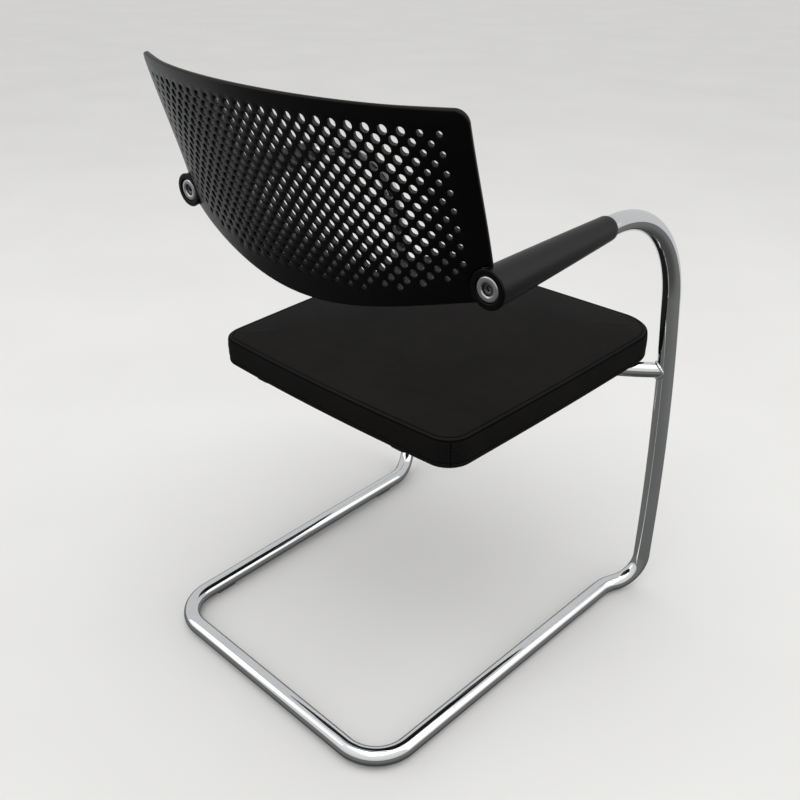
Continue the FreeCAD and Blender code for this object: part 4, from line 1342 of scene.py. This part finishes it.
for sx, nm in ((-1, "right"), (1, "left")):
    a = bar_outline(114.0, 146.0, 0, sy(-210.0), 9.0, True)
    b = bar_outline(162.0, 190.0, sy(-543.0), 0, 9.0, False)
    for outl_, hl, piece, node in ((a, SCREWS[:2], "seat_bracket_bar_", "seat_bracket_"), (b, SCREWS[2:], "seat_front_tab_plate_", "seat_front_tab_")):
        o_ = [(x * sx, y) for x, y in outl_]
        if sx < 0:
            o_ = o_[::-1]
        pv, pf, _ = holed_plate(o_, [(x * sx, sy(y), 3.3) for x, y in hl], 5.0, seat_place(0.0), rims(5.0, 0.8), rims(5.0, 0.4), 20, [])
        add_piece(piece + nm, world(pv), pf, bracket_paint, [node + nm], sharp_deg=35)

# button-head screws and washers under the seat
sv, sf, wv, wf = [], [], [], []
seg = 40
ang = np.linspace(0, 2 * math.pi, seg, endpoint=False)
for x, y in screw_xy:
    def ring(r, z):
        rr = r if np.ndim(r) else np.full(seg, r)
        return np.stack([x + rr * np.cos(ang), y + rr * np.sin(ang), np.full(seg, z)], 1)
    hx = 2.0 / np.cos((ang % (math.pi / 3)) - math.pi / 6)
    prof = [ring(3.0, 11.0), ring(3.0, -6.2), ring(5.0, -6.2), ring(5.2, -6.5), ring(5.15, -7.4), ring(4.75, -8.6), ring(4.0, -9.4), ring(3.0, -9.78),
            ring(2.75, -9.8), ring(hx * 1.06, -9.75), ring(hx, -9.5), ring(hx, -7.6), ring(hx * 0.5, -7.2), ring(hx * 0.02, -7.0)]
    base = sum(len(q_) for q_ in sv)
    sv += prof
    sf += grid_faces(len(prof), seg, base, flip=True)
    sf.append(tuple(base + k for k in range(seg)))
    sf.append(tuple(base + (len(prof) - 1) * seg + k for k in range(seg))[::-1])
    prof = [ring(3.2, -5.0), ring(6.2, -5.0), ring(6.4, -5.2), ring(6.4, -6.0), ring(6.2, -6.2), ring(3.2, -6.2)]
    base = sum(len(q_) for q_ in wv)
    wv += prof
    wf += grid_faces(len(prof), seg, base, flip=True)
    for k in range(seg):
        wf.append((base + 5 * seg + k, base + k, base + (k + 1) % seg, base + 5 * seg + (k + 1) % seg))
add_piece("seat_button_screws", world(seat_to_row(np.concatenate(sv))), sf, screw_black, ["seat_screws"], sharp_deg=40)
add_piece("seat_flat_washers", world(seat_to_row(np.concatenate(wv))), wf, zinc, ["seat_screw_washers"], sharp_deg=40)

# ------------------------------------------------------------------ CAD nodes that stay
for name, material in (("seat_insert_nuts", zinc), ("tube_plug_left", zinc), ("tube_plug_right", zinc),
                       ("back_bush_left", rubber), ("back_bush_right", rubber),
                       ("glide_front_left", glide_plastic), ("glide_front_right", glide_plastic),
                       ("glide_rear_left", glide_plastic), ("glide_rear_right", glide_plastic),
                       ("seat_foam", foam), ("seat_pan", plywood), ("seat_cover", fabric)):
    ob = NODES[name]
    if ob.material_slots:
        for s_ in ob.material_slots:
            s_.material = material
    else:
        ob.data.materials.append(material)

# ------------------------------------------------------------------ floor and light
fm = Mat("floor_pale", (0.74, 0.735, 0.72), 0.75, 0.0, 0.25)
fn_ = fm.noise(2.2, 4, 0.5)
fm.out(fm.mixcol(fn_, (0.725, 0.72, 0.705), (0.755, 0.75, 0.735)), None, None)
me = bpy.data.meshes.new("floor")
S = 400.0
me.from_pydata([(-S, -S, 0), (S, -S, 0), (S, S, 0), (-S, S, 0)], [], [(0, 1, 2, 3)])
floor = bpy.data.objects.new("floor", me)
bpy.context.scene.collection.objects.link(floor)
me.materials.append(fm.m)
floor.visible_glossy = False     # polished steel mirrors the dim lower half of the studio instead
floor.visible_diffuse = False    # and black undersides stay dark

world_ = bpy.data.worlds.new("studio")
bpy.context.scene.world = world_
world_.use_nodes = True
wt = world_.node_tree
bg = wt.nodes["Background"]
tc = wt.nodes.new("ShaderNodeTexCoord")
sp = wt.nodes.new("ShaderNodeSeparateXYZ")
wt.links.new(tc.outputs["Generated"], sp.inputs[0])
rp = wt.nodes.new("ShaderNodeValToRGB")
half_ = wt.nodes.new("ShaderNodeMapRange")
half_.inputs["From Min"].default_value = -1.0
half_.inputs["From Max"].default_value = 1.0
wt.links.new(sp.outputs[2], half_.inputs["Value"])
e = rp.color_ramp.elements
e[0].position, e[0].color = 0.0, (0.080, 0.078, 0.076, 1)
e[1].position, e[1].color = 1.0, (1.22, 1.22, 1.22, 1)
for pos_, c_ in ((0.10, 0.090), (0.20, 0.17), (0.26, 0.205), (0.40, 0.21), (0.490, 0.20), (0.4955, 0.78), (0.62, 0.88), (0.80, 1.04)):
    x_ = rp.color_ramp.elements.new(pos_)
    x_.color = (c_, c_, c_, 1)
wt.links.new(half_.outputs["Result"], rp.inputs["Fac"])
wt.links.new(rp.outputs["Color"], bg.inputs["Color"])
bg.inputs["Strength"].default_value = 0.80
bpy.context.scene.view_settings.view_transform = "Standard"


def area(name, loc, target, size, power, size_y=None, color=(1, 1, 1)):
    li = bpy.data.lights.new(name, "AREA")
    li.shape = "RECTANGLE"
    li.size = size
    li.size_y = size_y or size
    li.energy = power
    li.color = color
    ob = bpy.data.objects.new(name, li)
    bpy.context.scene.collection.objects.link(ob)
    ob.location = loc
    ob.rotation_mode = "QUATERNION"
    ob.rotation_quaternion = (Vector(target) - Vector(loc)).to_track_quat("-Z", "Y")
    return ob


area("key_overhead", (-0.6, 0.2, 2.9), (0, 0, 0.4), 3.8, 30, 2.8)
area("side_soft", (-2.6, -1.6, 1.9), (0, 0, 0.5), 2.4, 11, 2.4)
area("left_soft", (2.4, 1.8, 1.7), (0, 0, 0.5), 2.2, 12, 2.2)

# white board beside the object, seen only in what it polishes: it is the studio's wall in the reflections
bm_ = bpy.data.materials.new("board_white")
bm_.use_nodes = True
bt = bm_.node_tree
bt.nodes.remove(bt.nodes["Principled BSDF"])
em = bt.nodes.new("ShaderNodeEmission")
em.inputs["Color"].default_value = (0.97, 0.98, 1.0, 1)
em.inputs["Strength"].default_value = 0.62
bt.links.new(em.outputs[0], bt.nodes["Material Output"].inputs["Surface"])
bn = np.array([0.693, -0.721, 0.0])
bs = np.array([0.721, 0.693, 0.0])
b0_ = np.array([0.438, -0.442, 0.0])
me = bpy.data.meshes.new("reflector_board")
me.from_pydata([tuple(b0_ + bs * u + np.array([0, 0, z])) for u, z in ((-6, 0), (6, 0), (6, 3.2), (-6, 3.2))], [], [(0, 1, 2, 3)])
board = bpy.data.objects.new("reflector_board", me)
bpy.context.scene.collection.objects.link(board)
me.materials.append(bm_)
board.visible_camera = False
board.visible_diffuse = False
board.visible_shadow = False
board.visible_transmission = False
board.visible_volume_scatter = False
